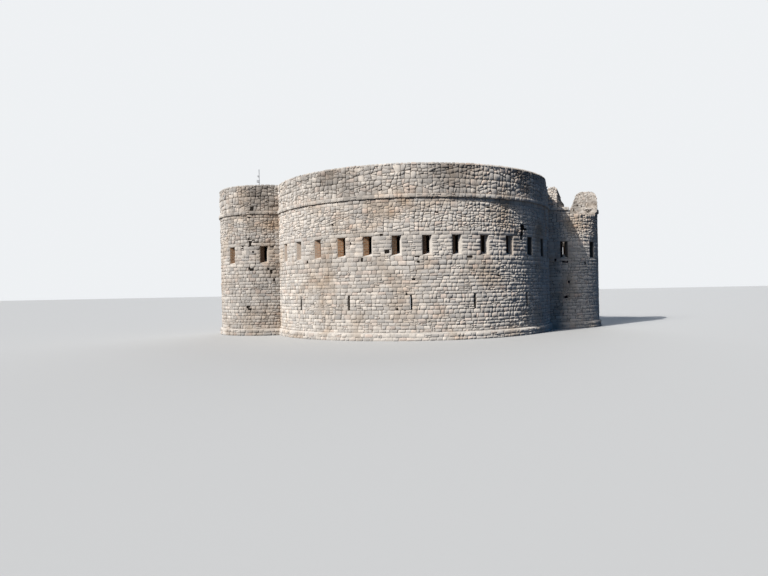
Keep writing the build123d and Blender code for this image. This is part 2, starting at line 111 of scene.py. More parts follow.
# Courses: each band is (low, high, number of courses).
UPPER_RUBBLE_TOP = 7.17
LOWER_BANDS = (
    (PLINTH_TOP, SLIT.sill, 6), (SLIT.sill, SLIT.head, 4), (SLIT.head, SLIT.lintel_top, 1),
    (SLIT.lintel_top, WINDOW.sill, 9),
)
JAMB_BANDS = ((WINDOW.sill, WINDOW.head, 5), (WINDOW.head, WINDOW.lintel_top, 1))
TOP_BANDS = ((UPPER_RUBBLE_TOP, STRING_UNDERSIDE, 1),)
PLINTH_BANDS = ((0.0, PLINTH_EDGE, 2),)
STRING_BANDS = ((STRING_UNDERSIDE, STRING_TOP, 1),)

# Kinds of stone: their mean size, the least and most that they stand out, and the joint between them.
# The joint of the paving is a share of a slab.
Coursed = namedtuple("Coursed", "length relief joint")
Rubble = namedtuple("Rubble", "length height relief joint")
COURSED_RELIEF = (0.008, 0.034)
RUBBLE_RELIEF = (0.008, 0.04)
PARAPET_RELIEF = (0.01, 0.05)
FACING_COURSES = Coursed(0.3, COURSED_RELIEF, 0.017)
JAMB_COURSES = Coursed(0.33, COURSED_RELIEF, 0.014)
TOP_COURSE = Coursed(0.3, RUBBLE_RELIEF, 0.017)
PLINTH_COURSES = Coursed(0.36, COURSED_RELIEF, 0.017)
STRING_SLABS = Coursed(0.34, (0.004, 0.024), 0.014)
WALL_RUBBLE = Rubble(0.28, 0.2, RUBBLE_RELIEF, 0.02)
PARAPET_RUBBLE = Rubble(0.3, 0.25, PARAPET_RELIEF, 0.022)
TOOTH_RUBBLE = Rubble(0.2, 0.17, PARAPET_RELIEF, 0.02)
STUB_RUBBLE = Rubble(0.22, 0.19, PARAPET_RELIEF, 0.02)
ARRIS_RUBBLE = Rubble(0.24, 0.17, (0.006, 0.03), 0.02)
COPING_RUBBLE = Rubble(0.3, 0.24, (0.012, 0.055), 0.02)
PAVING_SLABS = Rubble(0.52, 0.4, (0.004, 0.02), 0.07)
ARCH_STONES = 11
# Dressed stones that are laid one by one: the joints between them and how far they stand out
LINTEL_JOINT = 0.016
LINTEL_RELIEF = (0.016, 0.024)
THRESHOLD_JOINT = 0.02
DOORWAY_RELIEF = (0.02, 0.03)
# The arch stones keep this far off the arch's two edges, and fill this stretch of their shares of it.
ARCH_INSET = 0.01
ARCH_FILL = (0.06, 0.94)

# How the stones vary. Spreads and drifts are shares of a mean.
COURSE_SPREAD = 0.26
LENGTH_DRIFT = (0.85, 1.15)
LENGTH_SPREAD = 0.45
LIFT_SPREAD = 0.25
LOT_SPREAD = 0.4
LIFT_ROWS = 2.6
LOT_STONES = 2.4
LIFT_WANDER = 2.2
BED_WANDER = 0.028
# A bed's wander is a slow noise and a share of a quick one. These scale the place along it and its level.
SLOW_NOISE = (0.45, 3.1)
QUICK_NOISE = (1.7, 5.3)
QUICK_SHARE = 0.45
BLOCK_WANDER = 0.006
RUBBLE_WANDER = 0.01
CORNER_WANDER_ALONG = 0.016
CORNER_WANDER_UP = 0.013
JOINT_LEAN = 0.035
CUT_LEAN = 0.42
GAP_LEAN = 0.3
# A squared stone leaves between these shares of a joint at each side, and rubble these shares in all.
SIDE_JOINT = (0.35, 0.75)
RUBBLE_JOINT = (0.6, 1.5)
# A stone in a course higher than this can be laid as two, one on the other, and more often where it is
# short. Each of the two can be halved along the wall. The bed and the joint between them lie at these shares.
DOUBLED_HEIGHT = 0.15
DOUBLED_SHORT = 0.36
DOUBLED_OFTEN = 0.16
DOUBLED_SELDOM = 0.05
DOUBLED_AT = (0.4, 0.62)
HALVED_OFTEN = 0.4
HALVED_AT = (0.35, 0.65)
# Rubble ground isn't split further when it is under this many stones long and high, drawn between the two.
WHOLE_STONE = (1.05, 1.75)
# A cut in rubble ground lies at this share of it, and goes across where it is longer than high by this ratio.
CUT_AT = (0.36, 0.64)
CUT_ACROSS = (0.8, 1.25)
# Shares of the shorter side beside it that a corner loses, least and most. A corner whose sides meet at a
# smaller cosine than BLUNT_CORNER keeps its shape.
SQUARED_WEAR = (0.08, 0.26)
RUBBLE_WEAR = (0.08, 0.28)
BLOCK_WEAR = (0.1, 0.24)
ARCH_WEAR = (0.06, 0.14)
PAVING_WEAR = (0.08, 0.2)
HOLLOW_WEAR = (0.1, 0.3)
BLUNT_CORNER = -0.42
# Least sizes: the length of a run, the area of a stone, the width of rubble and its sides' share of that
SHORTEST_SPAN = 0.05
SMALLEST_STONE = 0.004
NARROWEST_RUBBLE = 0.05
SHORTEST_SIDE = 0.14
TINY = 1e-9
# A course passes over or under an opening that it touches by less than this.
OPENING_TOUCH = 0.02
# Rubble is left out where its middle is further over a broken top than this, and else its corners are
# brought down to this over it.
OVER_TOP_MIDDLE = 0.02
OVER_TOP_CORNER = 0.03
# A hollow's dark back, painted shade, is larger than the gap by this, and lies this far off the wall's face.
HOLLOW_MARGIN = 0.02
HOLLOW_OFF_WALL = 0.004
# The roof's paving keeps this far from the walls and from the broken edge.
PAVING_CLEARANCE = 0.02

# Places where stones have fallen out: angle, level, reach along and reach up
DRUM_FALLEN = (
    (38.6, 5.99, 0.16, 0.1), (39.4, 5.84, 0.24, 0.04), (38.4, 5.68, 0.07, 0.16), (37.7, 5.42, 0.05, 0.14),
    (-13.9, 4.63, 0.11, 0.1), (-15.7, 5.5, 0.06, 0.05), (-26.8, 5.13, 0.04, 0.04), (-22.7, 4.25, 0.05, 0.08),
    (-3.7, 4.34, 0.1, 0.03), (-3.4, 4.06, 0.05, 0.05), (-5.0, 3.17, 0.08, 0.04), (-10.7, 1.64, 0.05, 0.04),
    (-7.4, 2.4, 0.04, 0.05), (14.5, 4.3, 0.16, 0.025), (26.0, 3.3, 0.05, 0.04), (-46.8, 4.28, 0.05, 0.05),
    (3.0, 6.6, 0.06, 0.04), (-34.0, 6.2, 0.05, 0.04), (22.0, 6.9, 0.07, 0.04),
)
LEFT_TOWER_FALLEN = (
    (-18.5, 5.46, 0.3, 0.025), (-13.4, 5.64, 0.08, 0.13), (-14.2, 5.87, 0.1, 0.04), (-10.0, 5.8, 0.07, 0.03),
    (-6.5, 5.7, 0.16, 0.025), (-11.0, 5.47, 0.1, 0.03), (-24.0, 5.3, 0.09, 0.02), (-12.6, 4.04, 0.13, 0.07),
    (-15.0, 4.1, 0.07, 0.03), (-10.4, 5.1, 0.05, 0.04), (-14.4, 7.2, 0.05, 0.05), (6.5, 4.05, 0.05, 0.04),
    (9.4, 3.88, 0.05, 0.11), (12.7, 3.37, 0.05, 0.07), (-17.5, 1.76, 0.1, 0.07), (-15.6, 1.62, 0.09, 0.06),
    (11.0, 5.4, 0.1, 0.02),
)
LEFT_PARAPET_FALLEN = ((-10.7, 7.73, 0.11, 0.12),)
RIGHT_TOWER_FALLEN = (
    (-1.3, 4.16, 0.17, 0.05), (-0.9, 1.97, 0.08, 0.07), (25.3, 4.08, 0.05, 0.06), (2.8, 2.9, 0.05, 0.05),
    (-12.0, 4.3, 0.04, 0.05),
)
STUB_FALLEN = (
    (107.0, 8.62, 0.08, 0.07), (104.0, 8.35, 0.07, 0.05), (111.0, 8.2, 0.1, 0.05), (118.0, 7.95, 0.08, 0.05),
    (101.0, 8.7, 0.06, 0.05), (114.0, 8.45, 0.06, 0.06), (99.0, 8.1, 0.07, 0.05), (106.0, 7.9, 0.06, 0.05),
)

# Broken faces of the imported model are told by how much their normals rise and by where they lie.
UNDERSIDE_RISE = -0.5
SLOPE_RISE = 0.1
UPRIGHT_RISE = 0.3
LEVEL_RISE = 0.7
ROUND_SLACK = 0.04
BREAK_SLACK = 0.05
TOP_SLACK = 0.03
DRUM_BREAK_FROM = 0.85

# Camera at the photograph's viewing angle, and the stage
CAMERA_PLACE = (-3.777, -38.565, 2.75)
CAMERA_TURN = math.radians(2.8206)
CAMERA_ROLL = 0.0192836
CAMERA_LENS = 27.24
CAMERA_SENSOR = 36.0
CAMERA_REACH = 400.0
FLOOR_REACH = 260.0
# The floor is pale for the camera, and dark for what it would throw up at the fort.
FLOOR_SEEN = (0.56, 0.56, 0.55, 1.0)
FLOOR_LIT = (0.03, 0.03, 0.03, 1.0)
SKY_FILL = (0.16, 0.46, 1.0, 1.0)
SKY_FILL_STRENGTH = 0.12
BACKDROP = (0.86, 0.88, 0.9, 1.0)
# Lamps: name, strength, width in degrees, tint and where each stands as seen from the fort
LAMPS = (
    ("key", 3.6, 0.9, (1.0, 0.97, 0.93), (-0.608, -0.475, 0.636)),
    ("haze round the key", 1.3, 22.0, (1.0, 0.97, 0.94), (-0.6, -0.5, 0.62)),
    ("rear", 1.2, 50.0, (0.9, 0.95, 1.0), (0.25, 0.88, 0.4)),
)


def direction(angle):
    """Unit vector in plan at an angle in degrees from the front."""
    turn = math.radians(angle)
    return math.sin(turn), -math.cos(turn)


def tower_centre(side):
    x, y = direction(side * TOWER_BEARING)
    return x * TOWER_DISTANCE, y * TOWER_DISTANCE


DRUM = (0.0, 0.0)
LEFT_TOWER = tower_centre(-1)
RIGHT_TOWER = tower_centre(1)


def span_beside(radius, other):
    """Angle to each side of the line from the drum to a tower at which two round faces of them meet."""
    cosine = (TOWER_DISTANCE ** 2 + radius ** 2 - other ** 2) / (2 * TOWER_DISTANCE * radius)
    return math.degrees(math.acos(cosine))


class Ring:
    """Stretch of a round wall between two angles in degrees. s is measured along it at one radius."""

    def __init__(self, centre, radius, start, end):
        self.centre = centre
        self.radius = radius
        self.start = self.along(start)
        self.end = self.along(end)

    def along(self, angle):
        return math.radians(angle) * self.radius

    def angle(self, s):
        return math.degrees(s / self.radius)

    def spot(self, s, reach, z):
        """Point at a distance from the wall's centre."""
        x, y = direction(self.angle(s))
        return self.centre[0] + x * reach, self.centre[1] + y * reach, z


class WallFace(Ring):
    """Upright round face of a wall, outer or inner."""

    def __init__(self, centre, radius, start, end, inner=False):
        super().__init__(centre, radius, start, end)
        self.inner = inner

    def place(self, s, z, out=0.0):
        return self.spot(s, self.radius - out if self.inner else self.radius + out, z)

    def outline(self, points, out):
        placed = [self.place(s, z, out) for s, z in points]
        return placed[::-1] if self.inner else placed


class WallTop(Ring):
    """Flat top of a round wall: s runs along its middle and the second coordinate is the radius."""

    def __init__(self, centre, low, high, start, end):
        super().__init__(centre, (low + high) / 2, start, end)
        self.low = low
        self.high = high

    def outline(self, points, out):
        return [self.spot(s, radius, PARAPET_TOP + out) for s, radius in points][::-1]


class WornArris(Ring):
    """Slope over the outer arris of a parapet: s runs along it and the second coordinate climbs it."""

    CLIMB = 0.17
    RUN = 0.6
    RISE = 0.8
    OVERHANG = 0.045
    DROP = 0.06

    def outline(self, points, out):
        placed = []
        for s, climb in points:
            reach = self.radius + self.OVERHANG - self.RUN * climb + self.RISE * out
            placed.append(self.spot(s, reach, PARAPET_TOP - self.DROP + self.RISE * climb + self.RUN * out))
        return placed


class FlatTop:
    """Level floor laid in plan coordinates."""

    def __init__(self, level):
        self.level = level

    def outline(self, points, out):
        return [(x, y, self.level + out) for x, y in points]


def rectangle(s0, s1, z0, z1):
    return [(s0, z0), (s1, z0), (s1, z1), (s0, z1)]


def around(s, half, low, high):
    """Stretch of an unrolled face to both sides of a place, between two levels."""
    return s - half, s + half, low, high


def limits(polygon):
    """Least and most of a polygon along and up."""
    along, up = zip(*polygon)
    return min(along), max(along), min(up), max(up)


def middle_of(polygon):
    along, up = zip(*polygon)
    return sum(along) / len(along), sum(up) / len(up)


def extent(polygon):
    """Area of a polygon."""
    doubled = 0.0
    for index, (x, y) in enumerate(polygon):
        before = polygon[index - 1]
        doubled += before[0] * y - x * before[1]
    return abs(doubled) / 2


def cut_by_line(polygon, nx, ny, limit):
    """Part of a convex polygon where nx*x + ny*y is below a limit."""
    kept = []
    for index, a in enumerate(polygon):
        b = polygon[(index + 1) % len(polygon)]
        da = nx * a[0] + ny * a[1] - limit
        db = nx * b[0] + ny * b[1] - limit
        if da <= 0:
            kept.append(a)
        if (da < 0 < db) or (db < 0 < da):
            share = da / (da - db)
            kept.append((a[0] + (b[0] - a[0]) * share, a[1] + (b[1] - a[1]) * share))
    return kept


def worn(corners, chance, wear):
    """Outline with its sharp corners cut off, between two shares of the shorter side beside each."""
    outline = []
    for index, corner in enumerate(corners):
        sides = []
        for other in (corners[index - 1], corners[(index + 1) % len(corners)]):
            sides.append((other[0] - corner[0], other[1] - corner[1]))
        (x0, y0), (x1, y1) = sides
        lengths = [math.hypot(*side) for side in sides]
        if (x0 * x1 + y0 * y1) / max(lengths[0] * lengths[1], TINY) < BLUNT_CORNER:
            outline.append(corner)
            continue
        cut = min(lengths) * chance.uniform(*wear)
        for (x, y), length in zip(sides, lengths):
            share = cut / max(length, TINY)
            outline.append((corner[0] + x * share, corner[1] + y * share))
    return outline


def trimmed(outline, gaps, chance):
    """Stone's outline cut back from the places where stones have fallen out, or None if nothing is left."""
    for s0, s1, z0, z1 in gaps:
        s_low, s_high, z_low, z_high = limits(outline)
        if s_high <= s0 or s_low >= s1 or z_high <= z0 or z_low >= z1:
            continue
        lean = chance.uniform(-GAP_LEAN, GAP_LEAN)
        s = (s0 + s1) / 2
        z = (z0 + z1) / 2
        sides = (
            (1.0, lean, s0 + lean * z),
            (-1.0, lean, lean * z - s1),
            (lean, 1.0, z0 + lean * s),
            (lean, -1.0, lean * s - z1),
        )
        outline = max((cut_by_line(outline, *side) for side in sides), key=extent)
        if extent(outline) < SMALLEST_STONE:
            return None
    return outline


class Masonry:
    """Stones gathered for one piece: each an outline, how far it stands out, its tone, tint and tilt."""

    def __init__(self, name, seed):
        self.name = name
        self.chance = random.Random(seed)
        self.outlines = []
        self.relief = []
        self.tone = []
        self.tint = []
        self.tilt = []
        self.gaps = []

    def lay(self, face, points, relief, tone=None):
        chance = self.chance
        points = trimmed(points, self.gaps, chance)
        if points is None:
            return
        placed = face.outline(points, -BEDDING)
        self.outlines.append(placed)
        least, most = relief
        across = (placed[0][0] - FLAT_AND_PAINTED_LIGHT_FROM) / (FLAT_AND_PAINTED_LIGHT_TO - FLAT_AND_PAINTED_LIGHT_FROM)
        rough = 1 - FLATTER * min(max(across, 0.0), 1.0)
        self.relief.append((least + (most - least) * chance.random() ** 1.5) * rough + BEDDING)
        self.tone.append(chance.random() if tone is None else tone)
        self.tint.append(chance.random())
        self.tilt += [chance.gauss(0.0, FACE_TILT) * rough for _ in range(3)]

    def block(self, face, edges, joint, relief, tone=None):
        """Squared block with worn corners."""
        chance = self.chance
        half = joint / 2
        s0, s1, z0, z1 = edges
        corners = []
        for corner in rectangle(s0 + half, s1 - half, z0 + half, z1 - half):
            corners.append(tuple(at + chance.uniform(-BLOCK_WANDER, BLOCK_WANDER) for at in corner))
        self.lay(face, worn(corners, chance, BLOCK_WEAR), relief, tone)


# Outlines of the dark backs of painted shade where stones have fallen out, gathered from all the walls
hollow_painted_shade_backs = []


def open_gaps(masonry, face, fallen):
    """Keep a wall's stones off the places where some have fallen out, and put a dark ragged back of painted
    shade there.
    """
    masonry.gaps = []
    for angle, level, reach, rise in fallen:
        s = face.along(angle)
        masonry.gaps.append((s - reach, s + reach, level - rise, level + rise))
        reach += HOLLOW_MARGIN
        rise += HOLLOW_MARGIN
        corners = rectangle(s - reach, s + reach, level - rise, level + rise)
        hollow_painted_shade_backs.append(face.outline(worn(corners, masonry.chance, HOLLOW_WEAR), HOLLOW_OFF_WALL))


def free_spans(start, end, taken):
    """What is left of a run after the taken stretches are removed."""
    spans = []
    at = start
    for low, high in sorted(taken):
        if low > at:
            spans.append((at, min(low, end)))
        at = max(at, high)
    if at < end:
        spans.append((at, end))
    return [span for span in spans if span[1] - span[0] > SHORTEST_SPAN]


def cut_up(low, high, mean, chance, spread):
    """A stretch cut into random parts near a mean, each as its two ends."""
    count = max(1, round((high - low) / mean))
    weights = [chance.uniform(1 - spread, 1 + spread) for _ in range(count)]
    scale = (high - low) / sum(weights)
    ends = [low]
    for weight in weights:
        ends.append(ends[-1] + weight * scale)
    return list(zip(ends, ends[1:]))


def bed_levels(level, span, straight, wander=1.0):
    """Levels of a bed joint at the two ends of a stretch, off its own level where it isn't straight."""
    levels = []
    for s in span:
        slow = noise.noise(Vector((s * SLOW_NOISE[0], level * SLOW_NOISE[1], 0.0)))
        quick = noise.noise(Vector((s * QUICK_NOISE[0], level * QUICK_NOISE[1], 4.0)))
        levels.append(level if straight else level + wander * (BED_WANDER * (slow + QUICK_SHARE * quick)))
    return levels


def lay_squared(masonry, face, span, course, straight, kind):
    """One squared stone, or two or three smaller ones in its place."""
    chance = masonry.chance
    s0, s1 = span
    z0, z1 = course
    half = kind.joint * chance.uniform(*SIDE_JOINT)
    low = bed_levels(z0, span, straight[0])
    high = bed_levels(z1, span, straight[1])
    lean = chance.uniform(-JOINT_LEAN, JOINT_LEAN)
    parts = [(0.0, 1.0)]
    often = DOUBLED_OFTEN if s1 - s0 < DOUBLED_SHORT else DOUBLED_SELDOM
    if z1 - z0 > DOUBLED_HEIGHT and chance.random() < often:
        split = chance.uniform(*DOUBLED_AT)
        parts = [(0.0, split), (split, 1.0)]
    for under, over in parts:
        cuts = [s0, s1]
        if len(parts) == 2 and chance.random() < HALVED_OFTEN:
            cuts = [s0, s0 + (s1 - s0) * chance.uniform(*HALVED_AT), s1]
        for left, right in zip(cuts, cuts[1:]):
            corners = []
            for s, share in rectangle(left + half, right - half, under, over):
                across = (s - s0) / max(s1 - s0, TINY)
                bottom = low[0] + (low[1] - low[0]) * across
                top = high[0] + (high[1] - high[0]) * across
                z = bottom + (top - bottom) * share + (half if share == under else -half)
                s += lean if share == over else 0.0
                s += chance.uniform(-CORNER_WANDER_ALONG, CORNER_WANDER_ALONG)
                corners.append((s, z + chance.uniform(-CORNER_WANDER_UP, CORNER_WANDER_UP)))
            masonry.lay(face, worn(corners, chance, SQUARED_WEAR), kind.relief)


def lay_courses(masonry, face, bands, openings, kind):
    """Squared stones in courses, clear of the openings. The two ends of a band keep their level."""
    chance = masonry.chance
    for low, high, count in bands:
        courses = cut_up(low, high, (high - low) / count, chance, COURSE_SPREAD)
        for course in courses:
            straight = (course is courses[0], course is courses[-1])
            z0, z1 = course
            taken = []
            for s0, s1, sill, head in openings:
                if sill < z1 - OPENING_TOUCH and head > z0 + OPENING_TOUCH:
                    taken.append((s0, s1))
            for s0, s1 in free_spans(face.start, face.end, taken):
                mean = kind.length * chance.uniform(*LENGTH_DRIFT)
                for span in cut_up(s0, s1, mean, chance, LENGTH_SPREAD):
                    lay_squared(masonry, face, span, course, straight, kind)


def split_ground(polygon, kind, chance):
    """Cut a stretch of wall at random into stones of about one size, by leaning joints."""
    s_low, s_high, z_low, z_high = limits(polygon)
    wide = (s_high - s_low) / kind.length
    tall = (z_high - z_low) / kind.height
    if max(wide, tall) < chance.uniform(*WHOLE_STONE):
        return [polygon]
    lean = chance.uniform(-CUT_LEAN, CUT_LEAN)
    at = chance.uniform(*CUT_AT)
    if wide > tall * chance.uniform(*CUT_ACROSS):
        nx, ny = 1.0, lean
        limit = s_low + (s_high - s_low) * at + lean * (z_low + z_high) / 2
    else:
        nx, ny = lean, 1.0
        limit = z_low + (z_high - z_low) * at + lean * (s_low + s_high) / 2
    halves = (cut_by_line(polygon, nx, ny, limit), cut_by_line(polygon, -nx, -ny, -limit))
    return [leaf for half in halves if len(half) >= 3 for leaf in split_ground(half, kind, chance)]


def rubble_stones(along, up, kind, chance):
    """Random rubble: lifts with wavy beds, cut into lots and each lot into stones."""
    stones = []
    lifts = cut_up(*up, LIFT_ROWS * kind.height, chance, LIFT_SPREAD)
    for lift in lifts:
        for lot in cut_up(*along, LOT_STONES * kind.length, chance, LOT_SPREAD):
            low = bed_levels(lift[0], lot, lift is lifts[0], LIFT_WANDER)
            high = bed_levels(lift[1], lot, lift is lifts[-1], LIFT_WANDER)
            ground = [(lot[0], low[0]), (lot[1], low[1]), (lot[1], high[1]), (lot[0], high[0])]
            stones += split_ground(ground, kind, chance)
    return stones


def lay_rubble(masonry, face, low, high, kind, top=None):
    """Irregular stones over a face between two levels, up to a broken top where there is one."""
    chance = masonry.chance
    for cell in rubble_stones((face.start, face.end), (low, high), kind, chance):
        middle = middle_of(cell)
        if top is not None:
            if middle[1] > top(middle[0]) + OVER_TOP_MIDDLE:
                continue
            cell = [(s, min(z, top(s) + OVER_TOP_CORNER)) for s, z in cell]
        s_low, s_high, z_low, z_high = limits(cell)
        size = min(s_high - s_low, z_high - z_low)
        if size < NARROWEST_RUBBLE:
            continue
        shrink = 1 - kind.joint * chance.uniform(*RUBBLE_JOINT) / size
        outline = []
        for index, point in enumerate(cell):
            before = cell[index - 1]
            if math.hypot(point[0] - before[0], point[1] - before[1]) < SHORTEST_SIDE * size:
                continue
            outline.append(tuple(
                centre + (at - centre) * shrink + chance.uniform(-RUBBLE_WANDER, RUBBLE_WANDER)
                for centre, at in zip(middle, point)
            ))
        if len(outline) >= 3:
            masonry.lay(face, worn(outline, chance, RUBBLE_WEAR), kind.relief)


# Node helpers
def add(tree, kind, inputs=(), **settings):
    """Node with its settings, and its inputs linked or set."""
    made = tree.nodes.new(kind)
    for key, value in settings.items():
        setattr(made, key, value)
    for key, value in dict(inputs).items():
        if isinstance(value, bpy.types.NodeSocket):
            tree.links.new(value, made.inputs[key])
        else:
            made.inputs[key].default_value = value
    return made


def maths(tree, operation, first, second=0.0, clamp=False):
    return add(tree, "ShaderNodeMath", {0: first, 1: second}, operation=operation, use_clamp=clamp).outputs[0]


def product(tree, first, *others, clamp=False):
    """Values multiplied one after the other, the last of them clamped if asked."""
    for index, other in enumerate(others, 1):
        first = maths(tree, "MULTIPLY", first, other, clamp and index == len(others))
    return first


def vectors(tree, operation, *given, scale=None):
    """Vector maths: a number for a length or a dot product, and else a vector."""
    inputs = dict(enumerate(given))
    if scale is not None:
        inputs["Scale"] = scale
    made = add(tree, "ShaderNodeVectorMath", inputs, operation=operation)
    return made.outputs["Value" if operation in ("LENGTH", "DOT_PRODUCT") else "Vector"]


def blend(tree, factor, first, second, mode="MIX"):
    made = add(tree, "ShaderNodeMix", {0: factor, 6: first, 7: second}, data_type="RGBA", blend_type=mode)
    return made.outputs[2]


def shaded(tree, shade, level):
    """Colour multiplied by a level of grey."""
    grey = add(tree, "ShaderNodeCombineColor", {0: level, 1: level, 2: level}).outputs[0]
    return blend(tree, 1.0, shade, grey, "MULTIPLY")


def speckle(tree, vector, scale, detail=3.0, roughness=0.6, distortion=0.0):
    inputs = {
        "Vector": vector, "Scale": scale, "Detail": detail,
        "Roughness": roughness, "Distortion": distortion,
    }
    return add(tree, "ShaderNodeTexNoise", inputs).outputs["Fac"]


def stretch(tree, value, low, high, to_low=0.0, to_high=1.0):
    inputs = {"Value": value, "From Min": low, "From Max": high, "To Min": to_low, "To Max": to_high}
    return add(tree, "ShaderNodeMapRange", inputs).outputs["Result"]


def object_place(tree):
    return add(tree, "ShaderNodeTexCoord").outputs["Object"]


def parts_of(tree, vector):
    """X, Y and Z of a vector, by name."""
    return add(tree, "ShaderNodeSeparateXYZ", {0: vector}).outputs


def recall(tree, name, kind="FLOAT"):
    """Value kept on a mesh under a name."""
    return add(tree, "GeometryNodeInputNamedAttribute", {"Name": name}, data_type=kind).outputs[0]


def store(tree, shape, name, value, domain, kind="FLOAT", **inputs):
    """Geometry with a value kept on it under a name."""
    inputs = {"Geometry": shape, "Name": name, "Value": value, **inputs}
    return add(tree, "GeometryNodeStoreNamedAttribute", inputs, data_type=kind, domain=domain).outputs[0]


def new_group(name, inputs, outputs, kind="ShaderNodeTree"):
    tree = bpy.data.node_groups.new(name, kind)
    for label, socket, value in inputs:
        made = tree.interface.new_socket(label, in_out="INPUT", socket_type=socket)
        if value is not None:
            made.default_value = value
    for label, socket in outputs:
        tree.interface.new_socket(label, in_out="OUTPUT", socket_type=socket)
    return tree, tree.nodes.new("NodeGroupInput").outputs, tree.nodes.new("NodeGroupOutput")


def put_out(tree, out, **values):
    """Link what a group gives to its outputs."""
    for label, value in values.items():
        tree.links.new(value, out.inputs[label])
    return tree


def colour(red, green, blue):
    """Linear colour from values as a paint chart gives them, 0 to 255."""
    parts = []
    for value in (red, green, blue):
        share = value / 255
        parts.append(share / 12.92 if share <= 0.04045 else ((share + 0.055) / 1.055) ** 2.4)
    return (*parts, 1.0)


FLOAT = "NodeSocketFloat"
COLOUR = "NodeSocketColor"
GEOMETRY = "NodeSocketGeometry"
MATERIAL = "NodeSocketMaterial"

# Colours of the stone and of what lies on it
CREAM = colour(240, 233, 224)
PALE_GREY = colour(219, 214, 208)
ROSE = colour(232, 216, 204)
OCHRE = colour(214, 186, 150)
SLATE_GREY = colour(156, 151, 147)
DARK_LICHEN = colour(78, 75, 72)
JOINT_EARTH = colour(140, 129, 118)
JOINT_LIME = colour(212, 204, 194)
# Colours inside the windows and in the hollows
BRICK_PALE = colour(206, 156, 112)
BRICK_DARK = colour(168, 118, 82)
BRICK_JOINT = colour(206, 188, 164)
# Painted shade for the drum's window cheeks, and soot with painted shade for the towers'
CHEEK_PAINTED_SHADE = colour(58, 48, 42)
THIN_SOOT_AND_PAINTED_SHADE = colour(84, 70, 60)
DEEP_SHADE = colour(52, 46, 42)
INNER_STONE = colour(112, 88, 68)
# Painted shade for the backs of the hollows where stones have fallen out, mottled with earth brown
HOLLOW_PAINTED_SHADE = colour(28, 24, 21)
HOLLOW_SHADE_AND_EARTH = colour(62, 52, 43)
# Colours of the mast
WHITE_PAINT = colour(232, 234, 236)
PAINT_SOIL = colour(150, 146, 138)


def weathering_group():
    """Stains that lie over all the masonry: grey crust, ochre wash, dark lichen and rain streaks."""
    tree, given, out = new_group(
        "masonry weathering",
        [("Color", COLOUR, None), ("Crust", FLOAT, 0.5), ("Ochre", FLOAT, 0.5), ("Lichen", FLOAT, 0.5)],
        [("Color", COLOUR)],
    )
    place = object_place(tree)
    high = stretch(tree, parts_of(tree, place)["Z"], 6.4, 8.6, 0.25, 1.0)
    crust = stretch(tree, speckle(tree, place, 0.34, 4.0, 0.62), 0.44, 0.66)
    crust = product(tree, crust, high, given["Crust"], clamp=True)
    shade = blend(tree, crust, given["Color"], SLATE_GREY, "MULTIPLY")
    ochre = stretch(tree, speckle(tree, place, 0.5, 3.0, 0.55, 0.4), 0.5, 0.72)
    shade = blend(tree, product(tree, ochre, given["Ochre"], clamp=True), shade, OCHRE, "MULTIPLY")
    long = add(tree, "ShaderNodeMapping", {"Vector": place, "Scale": (3.0, 3.0, 0.35)}).outputs[0]
    streak = stretch(tree, speckle(tree, long, 1.1, 4.0, 0.65), 0.56, 0.74)
    shade = blend(tree, product(tree, streak, high, 0.5), shade, SLATE_GREY, "MULTIPLY")
    spots = stretch(tree, speckle(tree, place, 9.0, 4.0, 0.7), 0.63, 0.72)
    patches = stretch(tree, speckle(tree, place, 0.8, 2.0, 0.5), 0.42, 0.62)
    lichen = product(tree, spots, patches, given["Lichen"], clamp=True)
    return put_out(tree, out, Color=blend(tree, lichen, shade, DARK_LICHEN))


def limestone_group(weathering):
    """Worn limestone: each stone has its own tone and tint, and its sides are stained by the joint."""
    tree, given, out = new_group(
        "worn limestone",
        [("Tone", FLOAT, 0.5), ("Tint", FLOAT, 0.5), ("Face", FLOAT, 1.0), ("Brightness", FLOAT, 1.0),
         ("Crust", FLOAT, 0.5), ("Ochre", FLOAT, 0.5), ("Lichen", FLOAT, 0.5)],
        [("Color", COLOUR), ("Roughness", FLOAT), ("Height", FLOAT)],
    )
    place = object_place(tree)
    body = blend(tree, stretch(tree, given["Tint"], 0.35, 1.0), CREAM, PALE_GREY)
    body = blend(tree, stretch(tree, given["Tint"], 0.22, 0.0, 0.0, 0.7), body, ROSE)
    mottle = stretch(tree, speckle(tree, place, 5.0, 4.0, 0.65), 0.3, 0.7, 0.86, 1.06)
    grain = stretch(tree, speckle(tree, place, 42.0, 3.0, 0.7), 0.25, 0.75, 0.9, 1.05)
    level = stretch(tree, given["Tone"], 0.0, 1.0, 0.8, 1.08)
    level = product(tree, level, mottle, product(tree, grain, given["Brightness"]))
    body = shaded(tree, body, maths(tree, "MINIMUM", level, 1.14))
    stains = {key: given[key] for key in ("Crust", "Ochre", "Lichen")}
    stained = add(tree, "ShaderNodeGroup", node_tree=weathering)
    for key, value in (*stains.items(), ("Color", body)):
        tree.links.new(value, stained.inputs[key])
    edge = stretch(tree, given["Face"], 0.05, 0.6, 0.38, 0.0)
    shade = blend(tree, edge, stained.outputs["Color"], JOINT_EARTH)
    pits = stretch(tree, speckle(tree, place, 26.0, 3.0, 0.75), 0.3, 0.42, 0.0, 0.35)
    height = maths(tree, "ADD", pits, speckle(tree, place, 8.0, 6.0, 0.68))
    roughness = maths(tree, "ADD", product(tree, grain, 0.1), 0.8)
    return put_out(tree, out, Color=shade, Roughness=roughness, Height=height)


